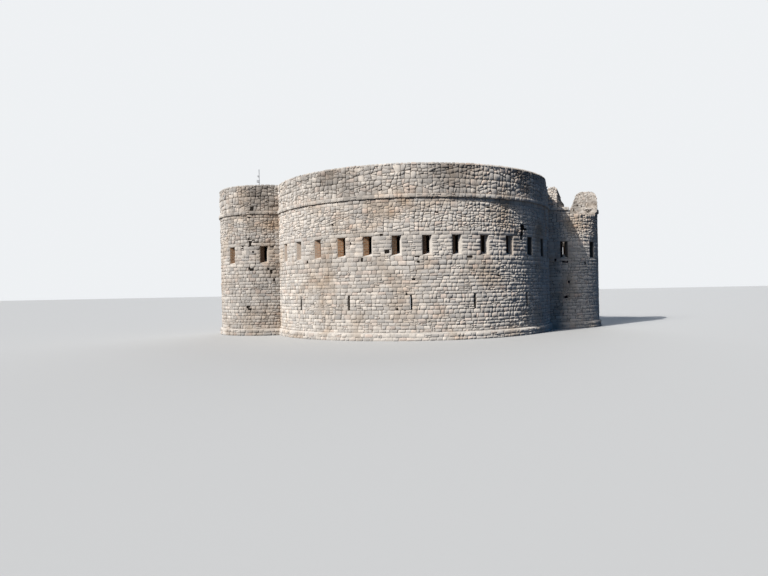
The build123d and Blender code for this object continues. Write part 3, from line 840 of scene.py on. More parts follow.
def mortar_group(weathering):
    """Lime mortar and small packing between the stones, darker where it has washed out."""
    tree, given, out = new_group(
        "joint mortar",
        [("Earth", FLOAT, 0.6), ("Crust", FLOAT, 0.4)],
        [("Color", COLOUR), ("Roughness", FLOAT), ("Height", FLOAT)],
    )
    place = object_place(tree)
    washed = stretch(tree, speckle(tree, place, 2.4, 4.0, 0.65), 0.36, 0.62)
    body = blend(tree, product(tree, washed, given["Earth"], clamp=True), JOINT_LIME, JOINT_EARTH)
    grit = stretch(tree, speckle(tree, place, 30.0, 4.0, 0.75), 0.3, 0.7, 0.7, 1.1)
    stained = add(tree, "ShaderNodeGroup", {"Ochre": 0.3, "Lichen": 0.2}, node_tree=weathering)
    tree.links.new(given["Crust"], stained.inputs["Crust"])
    tree.links.new(shaded(tree, body, grit), stained.inputs["Color"])
    height = speckle(tree, place, 18.0, 5.0, 0.75)
    roughness = product(tree, grit, 0.85)
    return put_out(tree, out, Color=stained.outputs["Color"], Roughness=roughness, Height=height)


weathering = weathering_group()
limestone = limestone_group(weathering)
mortar = mortar_group(weathering)


def new_material(name):
    material = bpy.data.materials.new(name)
    material.use_nodes = True
    tree = material.node_tree
    surface = tree.nodes["Principled BSDF"]
    surface.inputs["Specular IOR Level"].default_value = 0.25
    surface.inputs["Diffuse Roughness"].default_value = 1.0
    return material, tree, surface


def rightwards(tree, at_left, at_right):
    """Value that changes from the left of the drum to its right, where its facing is flatter and brightened
    by painted light.
    """
    across = parts_of(tree, object_place(tree))["X"]
    return stretch(tree, across, FLAT_AND_PAINTED_LIGHT_FROM, FLAT_AND_PAINTED_LIGHT_TO, at_left, at_right)


def finish_surface(tree, surface, shade, roughness, height, depth, strength=1.0):
    """Link a colour, a roughness and a relief to a material's surface."""
    bump = add(tree, "ShaderNodeBump", {"Height": height, "Strength": strength, "Distance": depth})
    tree.links.new(bump.outputs["Normal"], surface.inputs["Normal"])
    for key, value in (("Base Color", shade), ("Roughness", roughness)):
        if isinstance(value, bpy.types.NodeSocket):
            tree.links.new(value, surface.inputs[key])
        else:
            surface.inputs[key].default_value = value


def finish_with(tree, surface, group, depth, strength=1.0):
    """Link what a stone or mortar group gives to a material's surface."""
    given = [group.outputs[key] for key in ("Color", "Roughness", "Height")]
    finish_surface(tree, surface, *given, depth, strength)


def facing_material(name, brightness, crust, ochre, lichen, paler=PAINTED_LIGHT_RIGHTWARDS):
    """Facing stones that carry their own tone, tint and face attributes, brightened towards +X by painted
    light.
    """
    material, tree, surface = new_material(name)
    stone = add(tree, "ShaderNodeGroup", node_tree=limestone)
    for key, value in (("Crust", crust), ("Ochre", ochre), ("Lichen", lichen)):
        stone.inputs[key].default_value = value
    # Painted light: the stones' brightness rises towards the drum's right, where the lamps only graze them.
    tree.links.new(rightwards(tree, brightness, brightness + paler), stone.inputs["Brightness"])
    for key in ("Tone", "Tint", "Face"):
        own = add(tree, "ShaderNodeAttribute", attribute_name="stone_" + key.lower())
        tree.links.new(own.outputs["Fac"], stone.inputs[key])
    finish_with(tree, surface, stone, 0.016, rightwards(tree, 1.0, 1.0 - FLATTER))
    return material


def mortar_material(name, earth, crust):
    material, tree, surface = new_material(name)
    bed = add(tree, "ShaderNodeGroup", {"Earth": earth, "Crust": crust}, node_tree=mortar)
    finish_with(tree, surface, bed, 0.035, rightwards(tree, 1.0, 1.0 - FLATTER))
    return material


def dressed_material(name, tone, crust, ochre):
    material, tree, surface = new_material(name)
    inputs = {"Tone": tone, "Tint": 0.45, "Crust": crust, "Ochre": ochre, "Lichen": 0.3}
    stone = add(tree, "ShaderNodeGroup", inputs, node_tree=limestone)
    finish_with(tree, surface, stone, 0.012)
    return material


def depth_and_turn(tree, place, centres):
    """How deep a point lies in the round walls, and how far its face looks to the right along them."""
    facing = add(tree, "ShaderNodeNewGeometry").outputs["True Normal"]
    depth = None
    turned = None
    for (x, y), radius in centres:
        moved = vectors(tree, "SUBTRACT", place, (x, y, 0.0))
        flat = vectors(tree, "MULTIPLY", moved, (1.0, 1.0, 0.0))
        inward = maths(tree, "SUBTRACT", radius, vectors(tree, "LENGTH", flat))
        along = vectors(tree, "NORMALIZE", vectors(tree, "CROSS_PRODUCT", (0.0, 0.0, 1.0), flat))
        right = vectors(tree, "DOT_PRODUCT", along, facing)
        if depth is None:
            depth, turned = inward, right
        else:
            nearer = maths(tree, "GREATER_THAN", inward, depth)
            turned = stretch(tree, nearer, 0.0, 1.0, turned, right)
            depth = maths(tree, "MAXIMUM", depth, inward)
    return depth, turned


def brick_lining(tree, place, depth, z):
    """Bared brickwork laid by its depth in the wall and its level, dulled by soot."""
    grid = add(tree, "ShaderNodeCombineXYZ", {0: depth, 1: z}).outputs[0]
    wobble = add(tree, "ShaderNodeTexNoise", {"Vector": place, "Scale": 3.0}).outputs["Color"]
    bricks = add(tree, "ShaderNodeTexBrick", {
        "Vector": vectors(tree, "MULTIPLY_ADD", wobble, (0.04, 0.04, 0.0), grid),
        "Color1": BRICK_PALE, "Color2": BRICK_DARK, "Mortar": BRICK_JOINT, "Scale": 1.0, "Mortar Size": 0.016,
        "Mortar Smooth": 0.4, "Bias": -0.1, "Brick Width": 0.2, "Row Height": 0.09,
    })
    soot = stretch(tree, speckle(tree, place, 5.0, 4.0, 0.7), 0.3, 0.7, 0.72, 1.12)
    return shaded(tree, bricks.outputs["Color"], soot)


def pier_material(name, centres, films):
    """Window piers: brickwork on the left cheeks under films of painted shade and painted light, pale stone
    on the right ones, brown insides, and painted shade deep in the windows at the drum's right end.

    A film is a colour that comes on between two places along X, from one share to another.
    """
    material, tree, surface = new_material(name)
    place = object_place(tree)
    split = parts_of(tree, place)
    depth, turned = depth_and_turn(tree, place, centres)
    lining = brick_lining(tree, place, depth, split["Z"])
    # Painted shade and painted light laid over the brick lining by place along X
    for film, *reach in films:
        lining = blend(tree, stretch(tree, split["X"], *reach), lining, film)
    inputs = {"Tone": 0.3, "Tint": 0.4, "Crust": 0.2, "Ochre": 0.6}
    stone = add(tree, "ShaderNodeGroup", inputs, node_tree=limestone)
    bared = product(tree, stretch(tree, turned, 0.1, 0.3), stretch(tree, depth, 0.02, 0.035))
    shade = blend(tree, bared, stone.outputs["Color"], lining)
    # Painted shade deep in the windows at the drum's right end, where no sun reaches the cheeks
    right_end_painted_shade = product(tree, stretch(tree, split["X"], 5.0, 5.8, 0.0, 0.8), stretch(tree, depth, 0.03, 0.06))
    shade = blend(tree, right_end_painted_shade, shade, DEEP_SHADE)
    behind = stretch(tree, depth, SPLAY_DEPTH - 0.01, SPLAY_DEPTH + 0.03)
    shade = blend(tree, behind, shade, INNER_STONE)
    finish_surface(tree, surface, shade, 0.9, stone.outputs["Height"], 0.015)
    return material


def hollow_shade_material():
    """Painted shade: dark backs of the places where stones have fallen out, mottled with earth brown."""
    material, tree, surface = new_material("fallen stone hollows painted shade")
    place = object_place(tree)
    earth = stretch(tree, speckle(tree, place, 14.0, 3.0, 0.7), 0.35, 0.7)
    shade = blend(tree, earth, HOLLOW_PAINTED_SHADE, HOLLOW_SHADE_AND_EARTH)
    finish_surface(tree, surface, shade, 0.95, speckle(tree, place, 25.0), 0.02)
    return material


def mast_material():
    """White paint over steel, chalky and a little soiled."""
    material, tree, surface = new_material("mast white paint")
    place = object_place(tree)
    soil = stretch(tree, speckle(tree, place, 12.0, 4.0, 0.7), 0.5, 0.75, 0.0, 0.5)
    shade = blend(tree, soil, WHITE_PAINT, PAINT_SOIL)
    finish_surface(tree, surface, shade, 0.45, speckle(tree, place, 60.0), 0.001)
    return material


# Geometry Nodes
def unevenness(tree, place, scale, detail, strength):
    """Offset that makes a surface lumpy."""
    inputs = {"Vector": place, "Scale": scale, "Detail": detail}
    lumps = add(tree, "ShaderNodeTexNoise", inputs).outputs["Color"]
    return vectors(tree, "SCALE", vectors(tree, "SUBTRACT", lumps, (0.5, 0.5, 0.5)), scale=strength)


def raised_stone_tree():
    """Every flat outline becomes a pillowed stone that stands out from the wall."""
    tree, given, out = new_group(
        "raised stones",
        [("Geometry", GEOMETRY, None), ("Shoulder share", FLOAT, 0.74), ("Shoulder width", FLOAT, 0.985),
         ("Crown width", FLOAT, 0.92), ("Unevenness", FLOAT, 0.014), ("Lump scale", FLOAT, 7.0),
         ("Material", MATERIAL, None)],
        [("Geometry", GEOMETRY)],
        "GeometryNodeTree",
    )
    relief = recall(tree, "relief")
    shoulder = product(tree, relief, given["Shoulder share"])
    crown = maths(tree, "SUBTRACT", relief, shoulder)
    middle = add(tree, "GeometryNodeInputPosition").outputs[0]
    outward = add(tree, "GeometryNodeInputNormal").outputs[0]
    shape = store(tree, given["Geometry"], "stone_middle", middle, "FACE", "FLOAT_VECTOR")
    shape = store(tree, shape, "stone_out", outward, "FACE", "FLOAT_VECTOR")
    chosen = {}
    for height, width, mark in ((shoulder, given["Shoulder width"], 0.6), (crown, given["Crown width"], 1.0)):
        inputs = {"Mesh": shape, "Offset Scale": height, "Individual": True, **chosen}
        raised = add(tree, "GeometryNodeExtrudeMesh", inputs, mode="FACES").outputs
        chosen = {"Selection": raised["Top"]}
        inputs = {"Geometry": raised["Mesh"], "Scale": width, **chosen}
        narrowed = add(tree, "GeometryNodeScaleElements", inputs, domain="FACE", scale_mode="UNIFORM")
        shape = store(tree, narrowed.outputs[0], "stone_face", mark, "POINT", **chosen)
    face = recall(tree, "stone_face")
    place = add(tree, "GeometryNodeInputPosition").outputs[0]
    strength = product(tree, face, given["Unevenness"], 2.4)
    lumpy = unevenness(tree, place, given["Lump scale"], 2.0, strength)
    names = ("stone_middle", "stone_out", "stone_tilt")
    middle, outward, tilt = (recall(tree, name, "FLOAT_VECTOR") for name in names)
    slope = vectors(tree, "DOT_PRODUCT", vectors(tree, "SUBTRACT", place, middle), tilt)
    leaned = vectors(tree, "SCALE", outward, scale=product(tree, slope, face))
    offset = vectors(tree, "ADD", lumpy, leaned)
    moved = add(tree, "GeometryNodeSetPosition", {"Geometry": shape, "Offset": offset}).outputs[0]
    return end_tree(tree, given, out, moved, True)


def broken_core_tree():
    """Rough stones of a wall's core strewn over its broken faces."""
    tree, given, out = new_group(
        "broken core stones",
        [("Geometry", GEOMETRY, None), ("Spacing", FLOAT, 0.09), ("Stone radius", FLOAT, 0.1),
         ("Roughness", FLOAT, 0.07), ("Sunk", FLOAT, -0.065), ("Seed", "NodeSocketInt", 7),
         ("Material", MATERIAL, None)],
        [("Geometry", GEOMETRY)],
        "GeometryNodeTree",
    )
    inputs = {
        "Mesh": given["Geometry"], "Distance Min": given["Spacing"],
        "Density Max": 200.0, "Seed": given["Seed"],
    }
    strewn = add(tree, "GeometryNodeDistributePointsOnFaces", inputs, distribute_method="POISSON").outputs
    sunk = vectors(tree, "SCALE", strewn["Normal"], scale=given["Sunk"])
    inputs = {"Geometry": strewn["Points"], "Offset": sunk}
    spots = add(tree, "GeometryNodeSetPosition", inputs).outputs[0]
    inputs = {"Radius": given["Stone radius"], "Subdivisions": 2}
    lump = add(tree, "GeometryNodeMeshIcoSphere", inputs).outputs[0]

    def random_vector(least, most, seed):
        inputs = {0: least, 1: most, 8: seed}
        return add(tree, "FunctionNodeRandomValue", inputs, data_type="FLOAT_VECTOR").outputs[0]

    turn = random_vector((0.0, 0.0, 0.0), (6.3, 6.3, 6.3), given["Seed"])
    size = random_vector((0.45, 0.35, 0.3), (1.15, 0.9, 0.65), 3)
    inputs = {"Points": spots, "Instance": lump, "Rotation": turn, "Scale": size}
    placed = add(tree, "GeometryNodeInstanceOnPoints", inputs).outputs[0]
    for name, seed in (("stone_tone", 5), ("stone_tint", 6)):
        value = add(tree, "FunctionNodeRandomValue", {2: 0.0, 3: 1.0, 8: seed}, data_type="FLOAT").outputs[1]
        placed = store(tree, placed, name, value, "INSTANCE")
    real = add(tree, "GeometryNodeRealizeInstances", {0: placed}).outputs[0]
    place = add(tree, "GeometryNodeInputPosition").outputs[0]
    rough = unevenness(tree, place, 9.0, 1.0, product(tree, given["Roughness"], 3.0))
    moved = add(tree, "GeometryNodeSetPosition", {"Geometry": real, "Offset": rough}).outputs[0]
    return end_tree(tree, given, out, store(tree, moved, "stone_face", 1.0, "POINT"), False)


def end_tree(tree, given, out, shape, smooth):
    """Give a tree's shape its shading and its material, as a real mesh."""
    shape = add(tree, "GeometryNodeSetShadeSmooth", {0: shape, "Shade Smooth": smooth}).outputs[0]
    shape = add(tree, "GeometryNodeRealizeInstances", {0: shape}).outputs[0]
    inputs = {"Geometry": shape, "Material": given["Material"]}
    shape = add(tree, "GeometryNodeSetMaterial", inputs).outputs[0]
    return put_out(tree, out, Geometry=shape)


def new_object(name, data):
    made = bpy.data.objects.new(name, data)
    bpy.context.scene.collection.objects.link(made)
    return made


def flat_mesh(name, outlines):
    """Mesh with one flat face for each outline."""
    points = []
    faces = []
    for outline in outlines:
        faces.append(tuple(range(len(points), len(points) + len(outline))))
        points += outline
    mesh = bpy.data.meshes.new(name)
    mesh.from_pydata(points, [], faces)
    return mesh


def run_tree(name, mesh, tree, values):
    """Mesh run through a Geometry Nodes tree, as a plain mesh object."""
    carrier = new_object(name + "_outlines", mesh)
    modifier = carrier.modifiers.new("stones", "NODES")
    modifier.node_group = tree
    for item in tree.interface.items_tree:
        if item.item_type == "SOCKET" and item.in_out == "INPUT" and item.name in values:
            modifier[item.identifier] = values[item.name]
    shown = carrier.evaluated_get(bpy.context.evaluated_depsgraph_get())
    made = bpy.data.meshes.new_from_object(shown)
    made.name = name
    bpy.data.objects.remove(carrier)
    return new_object(name, made)


def build_masonry(masonry, material, slot, **values):
    """Turn a piece's laid outlines into stones that ride on the fort."""
    mesh = flat_mesh(masonry.name, masonry.outlines)
    attributes = (
        ("relief", "FLOAT", "FACE", "value", masonry.relief),
        ("stone_tone", "FLOAT", "FACE", "value", masonry.tone),
        ("stone_tint", "FLOAT", "FACE", "value", masonry.tint),
        ("stone_face", "FLOAT", "POINT", "value", [0.0] * len(mesh.vertices)),
        ("stone_tilt", "FLOAT_VECTOR", "FACE", "vector", masonry.tilt),
    )
    for name, kind, domain, field, numbers in attributes:
        mesh.attributes.new(name, kind, domain).data.foreach_set(field, numbers)
    piece = run_tree(masonry.name, mesh, stones_tree, {"Material": material, **values})
    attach(piece, "root")


# Camera, lamps and stage
def make_camera():
    data = bpy.data.cameras.new("photo angle")
    data.lens = CAMERA_LENS
    data.sensor_width = CAMERA_SENSOR
    data.clip_end = CAMERA_REACH
    camera = new_object("photo angle", data)
    bpy.context.scene.camera = camera
    ahead = Vector((math.sin(CAMERA_TURN), math.cos(CAMERA_TURN), 0.0))
    right = Vector((math.cos(CAMERA_TURN), -math.sin(CAMERA_TURN), 0.0))
    up = Vector((0.0, 0.0, 1.0))
    across = right * math.cos(CAMERA_ROLL) - up * math.sin(CAMERA_ROLL)
    above = right * math.sin(CAMERA_ROLL) + up * math.cos(CAMERA_ROLL)
    camera.matrix_world = Matrix((*zip(across, above, -ahead, CAMERA_PLACE), (0.0, 0.0, 0.0, 1.0)))


def make_lamp(name, energy, spread, tint, towards):
    data = bpy.data.lights.new(name, "SUN")
    data.energy = energy
    data.angle = math.radians(spread)
    data.color = tint
    lamp = new_object(name, data)
    lamp.rotation_mode = "QUATERNION"
    lamp.rotation_quaternion = Vector(towards).to_track_quat("Z", "Y")


def make_world():
    """Blue fill for the object, and a pale backdrop for the camera."""
    world = bpy.data.worlds.new("studio")
    bpy.context.scene.world = world
    world.use_nodes = True
    tree = world.node_tree
    tree.nodes.clear()
    rays = add(tree, "ShaderNodeLightPath").outputs["Is Camera Ray"]
    fill = add(tree, "ShaderNodeBackground", {"Color": SKY_FILL, "Strength": SKY_FILL_STRENGTH})
    seen = add(tree, "ShaderNodeBackground", {"Color": BACKDROP, "Strength": 1.0})
    mixed = add(tree, "ShaderNodeMixShader", {0: rays, 1: fill.outputs[0], 2: seen.outputs[0]})
    add(tree, "ShaderNodeOutputWorld", {"Surface": mixed.outputs[0]})


def make_floor():
    corners = rectangle(-FLOOR_REACH, FLOOR_REACH, -FLOOR_REACH, FLOOR_REACH)
    mesh = flat_mesh("studio_floor", [[(x, y, 0.0) for x, y in corners]])
    floor = new_object("studio_floor", mesh)
    material, tree, surface = new_material("studio floor")
    seen = add(tree, "ShaderNodeLightPath").outputs["Is Camera Ray"]
    surface.inputs["Diffuse Roughness"].default_value = 0.0
    tree.links.new(blend(tree, seen, FLOOR_LIT, FLOOR_SEEN), surface.inputs["Base Color"])
    surface.inputs["Roughness"].default_value = 0.95
    mesh.materials.append(material)


make_camera()
for lamp in LAMPS:
    make_lamp(*lamp)
make_world()
make_floor()

stones_tree = raised_stone_tree()
# Facing stones by brightness, crust, ochre and lichen. The last three get none of the painted light that
# brightens the facing to the right.
coursed_stone = facing_material("coursed limestone facing", 0.98, 0.35, 0.5, 0.3)
rubble_stone = facing_material("rubble limestone facing", 1.07, 0.6, 0.6, 0.5)
parapet_stone = facing_material("parapet limestone rubble", 1.04, 0.9, 0.4, 0.8)
coping_stone = facing_material("worn parapet coping", 0.94, 0.5, 0.4, 0.6, 0.0)
inner_stone = facing_material("paving and inner faces", 0.8, 0.6, 0.4, 0.8, 0.0)
core_stone = facing_material("broken wall core", 0.92, 0.2, 0.8, 0.3, 0.0)
# Mortar by earth and crust, and dressed stone by tone, crust and ochre
wall_mortar = mortar_material("wall joint mortar", 0.48, 0.35)
parapet_mortar = mortar_material("parapet joint mortar", 0.85, 0.8)
dressed_stone = dressed_material("dressed limestone", 0.25, 0.4, 0.9)
ledge_stone = dressed_material("plinth and string ledges", 0.35, 0.6, 0.5)
paving_stone = dressed_material("roof and floor paving", 0.25, 0.8, 0.7)


# Stretches of wall that the walls beside them leave free, by the angle to each side at which they meet
def drum_front_span(edge):
    return edge - TOWER_BEARING, TOWER_BEARING - edge


def drum_rear_span(edge):
    return TOWER_BEARING + edge, 360 - TOWER_BEARING - edge


def left_tower_span(edge):
    return 180 - TOWER_BEARING + edge - 360, 180 - TOWER_BEARING - edge


def right_tower_span(edge):
    return edge - 180 + TOWER_BEARING, 180 + TOWER_BEARING - edge


drum_edge = span_beside(DRUM_RADIUS, TOWER_RADIUS)
tower_edge = span_beside(TOWER_RADIUS, DRUM_RADIUS)
drum_front = WallFace(DRUM, DRUM_RADIUS, *drum_front_span(drum_edge))
drum_rear = WallFace(DRUM, DRUM_RADIUS, *drum_rear_span(drum_edge))
left_tower = WallFace(LEFT_TOWER, TOWER_RADIUS, *left_tower_span(tower_edge))
right_tower = WallFace(RIGHT_TOWER, TOWER_RADIUS, *right_tower_span(tower_edge))


def hole_openings(face, angles, hole):
    """Windows or slits and their lintels, as stretches of the unrolled face."""
    openings = []
    for angle in angles:
        s = face.along(angle)
        openings.append(around(s, hole.half_width, hole.sill, hole.head))
        openings.append(around(s, hole.lintel_half_width, hole.head, hole.lintel_top))
    return openings


def door_openings(face):
    """Doorway and its arch, in steps up the arch."""
    s = face.along(DOOR_ANGLE)
    openings = [around(s, DOOR_HALF_WIDTH, 0.0, DOOR_SPRING)]
    step = 0.08
    level = 0.0
    while level < DOOR_ARCH_OUTER:
        half = math.sqrt(DOOR_ARCH_OUTER ** 2 - level ** 2)
        over = min(level + step, DOOR_ARCH_OUTER)
        openings.append(around(s, half, DOOR_SPRING + level, DOOR_SPRING + over))
        level += step
    return openings


def lay_lintels(masonry, face, angles, hole):
    for angle in angles:
        edges = around(face.along(angle), hole.lintel_half_width, hole.head, hole.lintel_top)
        masonry.block(face, edges, LINTEL_JOINT, LINTEL_RELIEF, masonry.chance.uniform(0.3, 0.9))


def lay_voussoirs(masonry, face):
    """Wedge stones round the doorway's arch."""
    chance = masonry.chance
    middle = face.along(DOOR_ANGLE)
    inner = DOOR_HALF_WIDTH + ARCH_INSET
    outer = DOOR_ARCH_OUTER - ARCH_INSET
    for index in range(ARCH_STONES):
        first, last = (math.pi * (index + share) / ARCH_STONES for share in ARCH_FILL)
        points = []
        for reach, turn in ((inner, first), (outer, first), (outer, last), (inner, last)):
            points.append((middle + reach * math.cos(turn), DOOR_SPRING + reach * math.sin(turn)))
        masonry.lay(face, worn(points, chance, ARCH_WEAR), DOORWAY_RELIEF, chance.uniform(0.5, 1.0))


def dress_wall(name, seed, face, windows, slits=(), fallen=(), door=False, notch=()):
    """Coursed facing up to the window heads and rubble above them, as two pieces."""
    lower = Masonry(name + "_coursed_facing", seed)
    upper = Masonry(name + "_rubble_facing", seed + 1)
    open_gaps(lower, face, fallen)
    upper.gaps = lower.gaps
    openings = hole_openings(face, windows, WINDOW) + hole_openings(face, slits, SLIT)
    if door:
        openings += door_openings(face)
        lay_voussoirs(lower, face)
    lay_courses(lower, face, LOWER_BANDS, openings, FACING_COURSES)
    lay_courses(lower, face, JAMB_BANDS, openings, JAMB_COURSES)
    lay_lintels(lower, face, windows, WINDOW)
    lay_lintels(lower, face, slits, SLIT)
    lay_rubble(upper, face, WINDOW.lintel_top, UPPER_RUBBLE_TOP, WALL_RUBBLE)
    lay_courses(upper, face, TOP_BANDS, notch, TOP_COURSE)
    build_masonry(lower, coursed_stone, "rubble_stone")
    build_masonry(upper, rubble_stone, "rubble_stone")


def broken_off(face, angles):
    """Stretch of a face between two angles that is gone at its top."""
    return [(face.along(angles[0]), face.along(angles[1]), STRING_UNDERSIDE - WALL_BREAK_DEPTH, PARAPET_TOP)]


dress_wall("drum_front", 11, drum_front, FRONT_WINDOW_ANGLES, FRONT_SLIT_ANGLES, DRUM_FALLEN)
dress_wall("drum_rear", 21, drum_rear, REAR_WINDOW_ANGLES, REAR_SLIT_ANGLES, door=True)
dress_wall("left_tower", 31, left_tower, [-angle for angle in TOWER_WINDOW_ANGLES], fallen=LEFT_TOWER_FALLEN)
dress_wall("right_tower", 41, right_tower, TOWER_WINDOW_ANGLES, fallen=RIGHT_TOWER_FALLEN,
           notch=broken_off(right_tower, WALL_BREAK))


def dress_bands():
    """Plinth blocks and string course slabs."""
    plinth = Masonry("plinth_blocks", 51)
    string = Masonry("string_course_slabs", 52)
    for face in (drum_front, drum_rear, left_tower, right_tower):
        edges = [face.angle(face.start), face.angle(face.end)]
        foot = WallFace(face.centre, face.radius + PLINTH_PROJECTION, *edges)
        middle = foot.along(DOOR_ANGLE)
        gaps = [around(middle, DOOR_HALF_WIDTH, 0.0, 1.0)] if face is drum_rear else []
        lay_courses(plinth, foot, PLINTH_BANDS, gaps, PLINTH_COURSES)
        if face is drum_rear:
            threshold = around(middle, DOOR_HALF_WIDTH, 0.0, DOOR_THRESHOLD - 0.03)
            plinth.block(foot, threshold, THRESHOLD_JOINT, DOORWAY_RELIEF)
        band = WallFace(face.centre, face.radius + STRING_PROJECTION, *edges)
        gaps = broken_off(band, STRING_BREAK) if face is right_tower else []
        lay_courses(string, band, STRING_BANDS, gaps, STRING_SLABS)
    build_masonry(plinth, coursed_stone, "dressed_stone")
    build_masonry(string, parapet_stone, "dressed_stone")


dress_bands()


def broken_top(face, axis, radius, outline, height):
    """Level of a broken top at a place along a face, from an outline of shares along X (0) or Y (1)."""
    def level(s):
        share = (face.place(s, 0)[axis] - face.centre[axis]) / radius
        if share < outline[0][0] or share > outline[-1][0]:
            return STRING_TOP - 1.0
        for (a, rise_a), (b, rise_b) in zip(outline, outline[1:]):
            if a <= share <= b:
                return STRING_TOP + height * (rise_a + (rise_b - rise_a) * (share - a) / (b - a))
        return STRING_TOP
    return level


def dress_drum_parapet(outside, inside):
    """Both faces of the drum's parapet, broken down at its front right."""
    opening = span_beside(DRUM_RADIUS, TOWER_INSIDE)
    inner_front = WallFace(DRUM, DRUM_INSIDE, *drum_front_span(opening), True)
    inner_rear = WallFace(DRUM, DRUM_INSIDE, *drum_rear_span(opening), True)
    for masonry, face, low in ((outside, drum_front, STRING_TOP), (inside, inner_front, ROOF_LEVEL)):
        top = broken_top(face, 0, DRUM_RADIUS, DRUM_BREAK, PARAPET_TOP - STRING_TOP)
        lay_rubble(masonry, face, low, PARAPET_TOP, PARAPET_RUBBLE, top)
    lay_rubble(outside, drum_rear, STRING_TOP, PARAPET_TOP, PARAPET_RUBBLE)
    lay_rubble(inside, inner_rear, ROOF_LEVEL, PARAPET_TOP, PARAPET_RUBBLE)


def dress_tower_parapets(outside, inside):
    """Both faces of the left tower's whole parapet, and of the tooth and the stub on the right one."""
    opening = span_beside(TOWER_INSIDE, DRUM_RADIUS)
    open_gaps(outside, left_tower, LEFT_PARAPET_FALLEN)
    lay_rubble(outside, left_tower, STRING_TOP, PARAPET_TOP, PARAPET_RUBBLE)
    outside.gaps = []
    inner_left = WallFace(LEFT_TOWER, TOWER_INSIDE, *left_tower_span(opening), True)
    lay_rubble(inside, inner_left, ROOF_LEVEL, PARAPET_TOP, PARAPET_RUBBLE)
    sides = (
        (outside, TOWER_RADIUS, tower_edge, TOOTH_END_OUTSIDE, False),
        (inside, TOWER_INSIDE, opening, TOOTH_END_INSIDE, True),
    )
    for masonry, radius, edge, tooth_end, inner in sides:
        tooth = WallFace(RIGHT_TOWER, radius, right_tower_span(edge)[0], tooth_end, inner)
        top = broken_top(tooth, 0, TOWER_RADIUS, TOOTH, TOOTH_HEIGHT)
        lay_rubble(masonry, tooth, STRING_TOP, STRING_TOP + TOOTH_HEIGHT, TOOTH_RUBBLE, top)
        stub = WallFace(RIGHT_TOWER, radius, *STUB_SPAN, inner)
        top = broken_top(stub, 1, TOWER_RADIUS, STUB, STUB_HEIGHT)
        if inner:
            open_gaps(masonry, stub, STUB_FALLEN)
        lay_rubble(masonry, stub, STRING_TOP, STRING_TOP + STUB_HEIGHT, STUB_RUBBLE, top)


def dress_copings():
    """Worn rubble over the flat tops of the parapets and over their outer arrises."""
    coping = Masonry("parapet_coping", 63)
    front_start, front_end = drum_front_span(drum_edge)
    break_start = math.degrees(math.asin(DRUM_BREAK[1][0]))
    tops = (
        WallTop(DRUM, DRUM_INSIDE, DRUM_RADIUS, front_start, min(front_end, break_start)),
        WallTop(DRUM, DRUM_INSIDE, DRUM_RADIUS, *drum_rear_span(drum_edge)),
        WallTop(LEFT_TOWER, TOWER_INSIDE, TOWER_RADIUS, *left_tower_span(tower_edge)),
    )
    for top in tops:
        arris = WornArris(top.centre, top.high, top.angle(top.start), top.angle(top.end))
        lay_rubble(coping, arris, 0.0, WornArris.CLIMB, ARRIS_RUBBLE)
        lay_rubble(coping, top, top.low, top.high, COPING_RUBBLE)
    build_masonry(coping, coping_stone, "parapet_rubble")


def dress_parapets():
    outside = Masonry("parapet_rubble_outside", 61)
    inside = Masonry("parapet_rubble_inside", 62)
    dress_drum_parapet(outside, inside)
    dress_tower_parapets(outside, inside)
    build_masonry(outside, parapet_stone, "parapet_rubble")
    build_masonry(inside, inner_stone, "parapet_rubble")
    dress_copings()


dress_parapets()


def on_roof(x, y):
    """Whether a place lies on a roof platform, and on the right tower before the line where it fell in."""
    if math.hypot(x, y) < DRUM_INSIDE - PAVING_CLEARANCE:
        return True
    if math.hypot(x - LEFT_TOWER[0], y - LEFT_TOWER[1]) < TOWER_INSIDE - PAVING_CLEARANCE:
        return True
    if math.hypot(x - RIGHT_TOWER[0], y - RIGHT_TOWER[1]) >= TOWER_INSIDE - PAVING_CLEARANCE:
        return False
    across = (y - RIGHT_TOWER[1]) / TOWER_RADIUS
    for (a, low), (b, high) in zip(ROOF_BREAK, ROOF_BREAK[1:]):
        if low <= across <= high:
            line = RIGHT_TOWER[0] + TOWER_RADIUS * (a + (b - a) * (across - low) / (high - low))
            return x < line - PAVING_CLEARANCE
    return False


def dress_roof():
    """Worn paving over the drum's roof platform and the towers'."""
    paving = Masonry("roof_paving", 71)
    chance = paving.chance
    level = FlatTop(ROOF_LEVEL)
    half_depth = DRUM_INSIDE - PAVING_CLEARANCE
    half_width = TOWER_DISTANCE + (TOWER_INSIDE - PAVING_CLEARANCE)
    shrink = 1 - PAVING_SLABS.joint
    for cell in rubble_stones((-half_width, half_width), (-half_depth, half_depth), PAVING_SLABS, chance):
        middle = middle_of(cell)
        outline = []
        for corner in cell:
            outline.append(tuple(centre + (at - centre) * shrink for centre, at in zip(middle, corner)))
        if all(on_roof(x, y) for x, y in outline):
            outline = worn(outline, chance, PAVING_WEAR)
            paving.lay(level, outline, PAVING_SLABS.relief, chance.uniform(0.0, 0.5))
    build_masonry(paving, inner_stone, "floor_stone", **{"Unevenness": 0.006, "Crown width": 0.85})


dress_roof()


def broken_faces(node, centre, radii, wanted):
    """Outlines of the faces where a packed wall is broken off: neither its round faces nor its underside."""
    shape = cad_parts[node].data
    found = []
    for face in shape.polygons:
        x, y, z = face.center
        reach = math.hypot(x - centre[0], y - centre[1])
        up = face.normal.z
        round_face = abs(up) < UPRIGHT_RISE and min(abs(reach - radius) for radius in radii) < ROUND_SLACK
        if not round_face and up > UNDERSIDE_RISE and wanted(x, y, z, up):
            found.append([tuple(shape.vertices[index].co) for index in face.vertices])
    return found


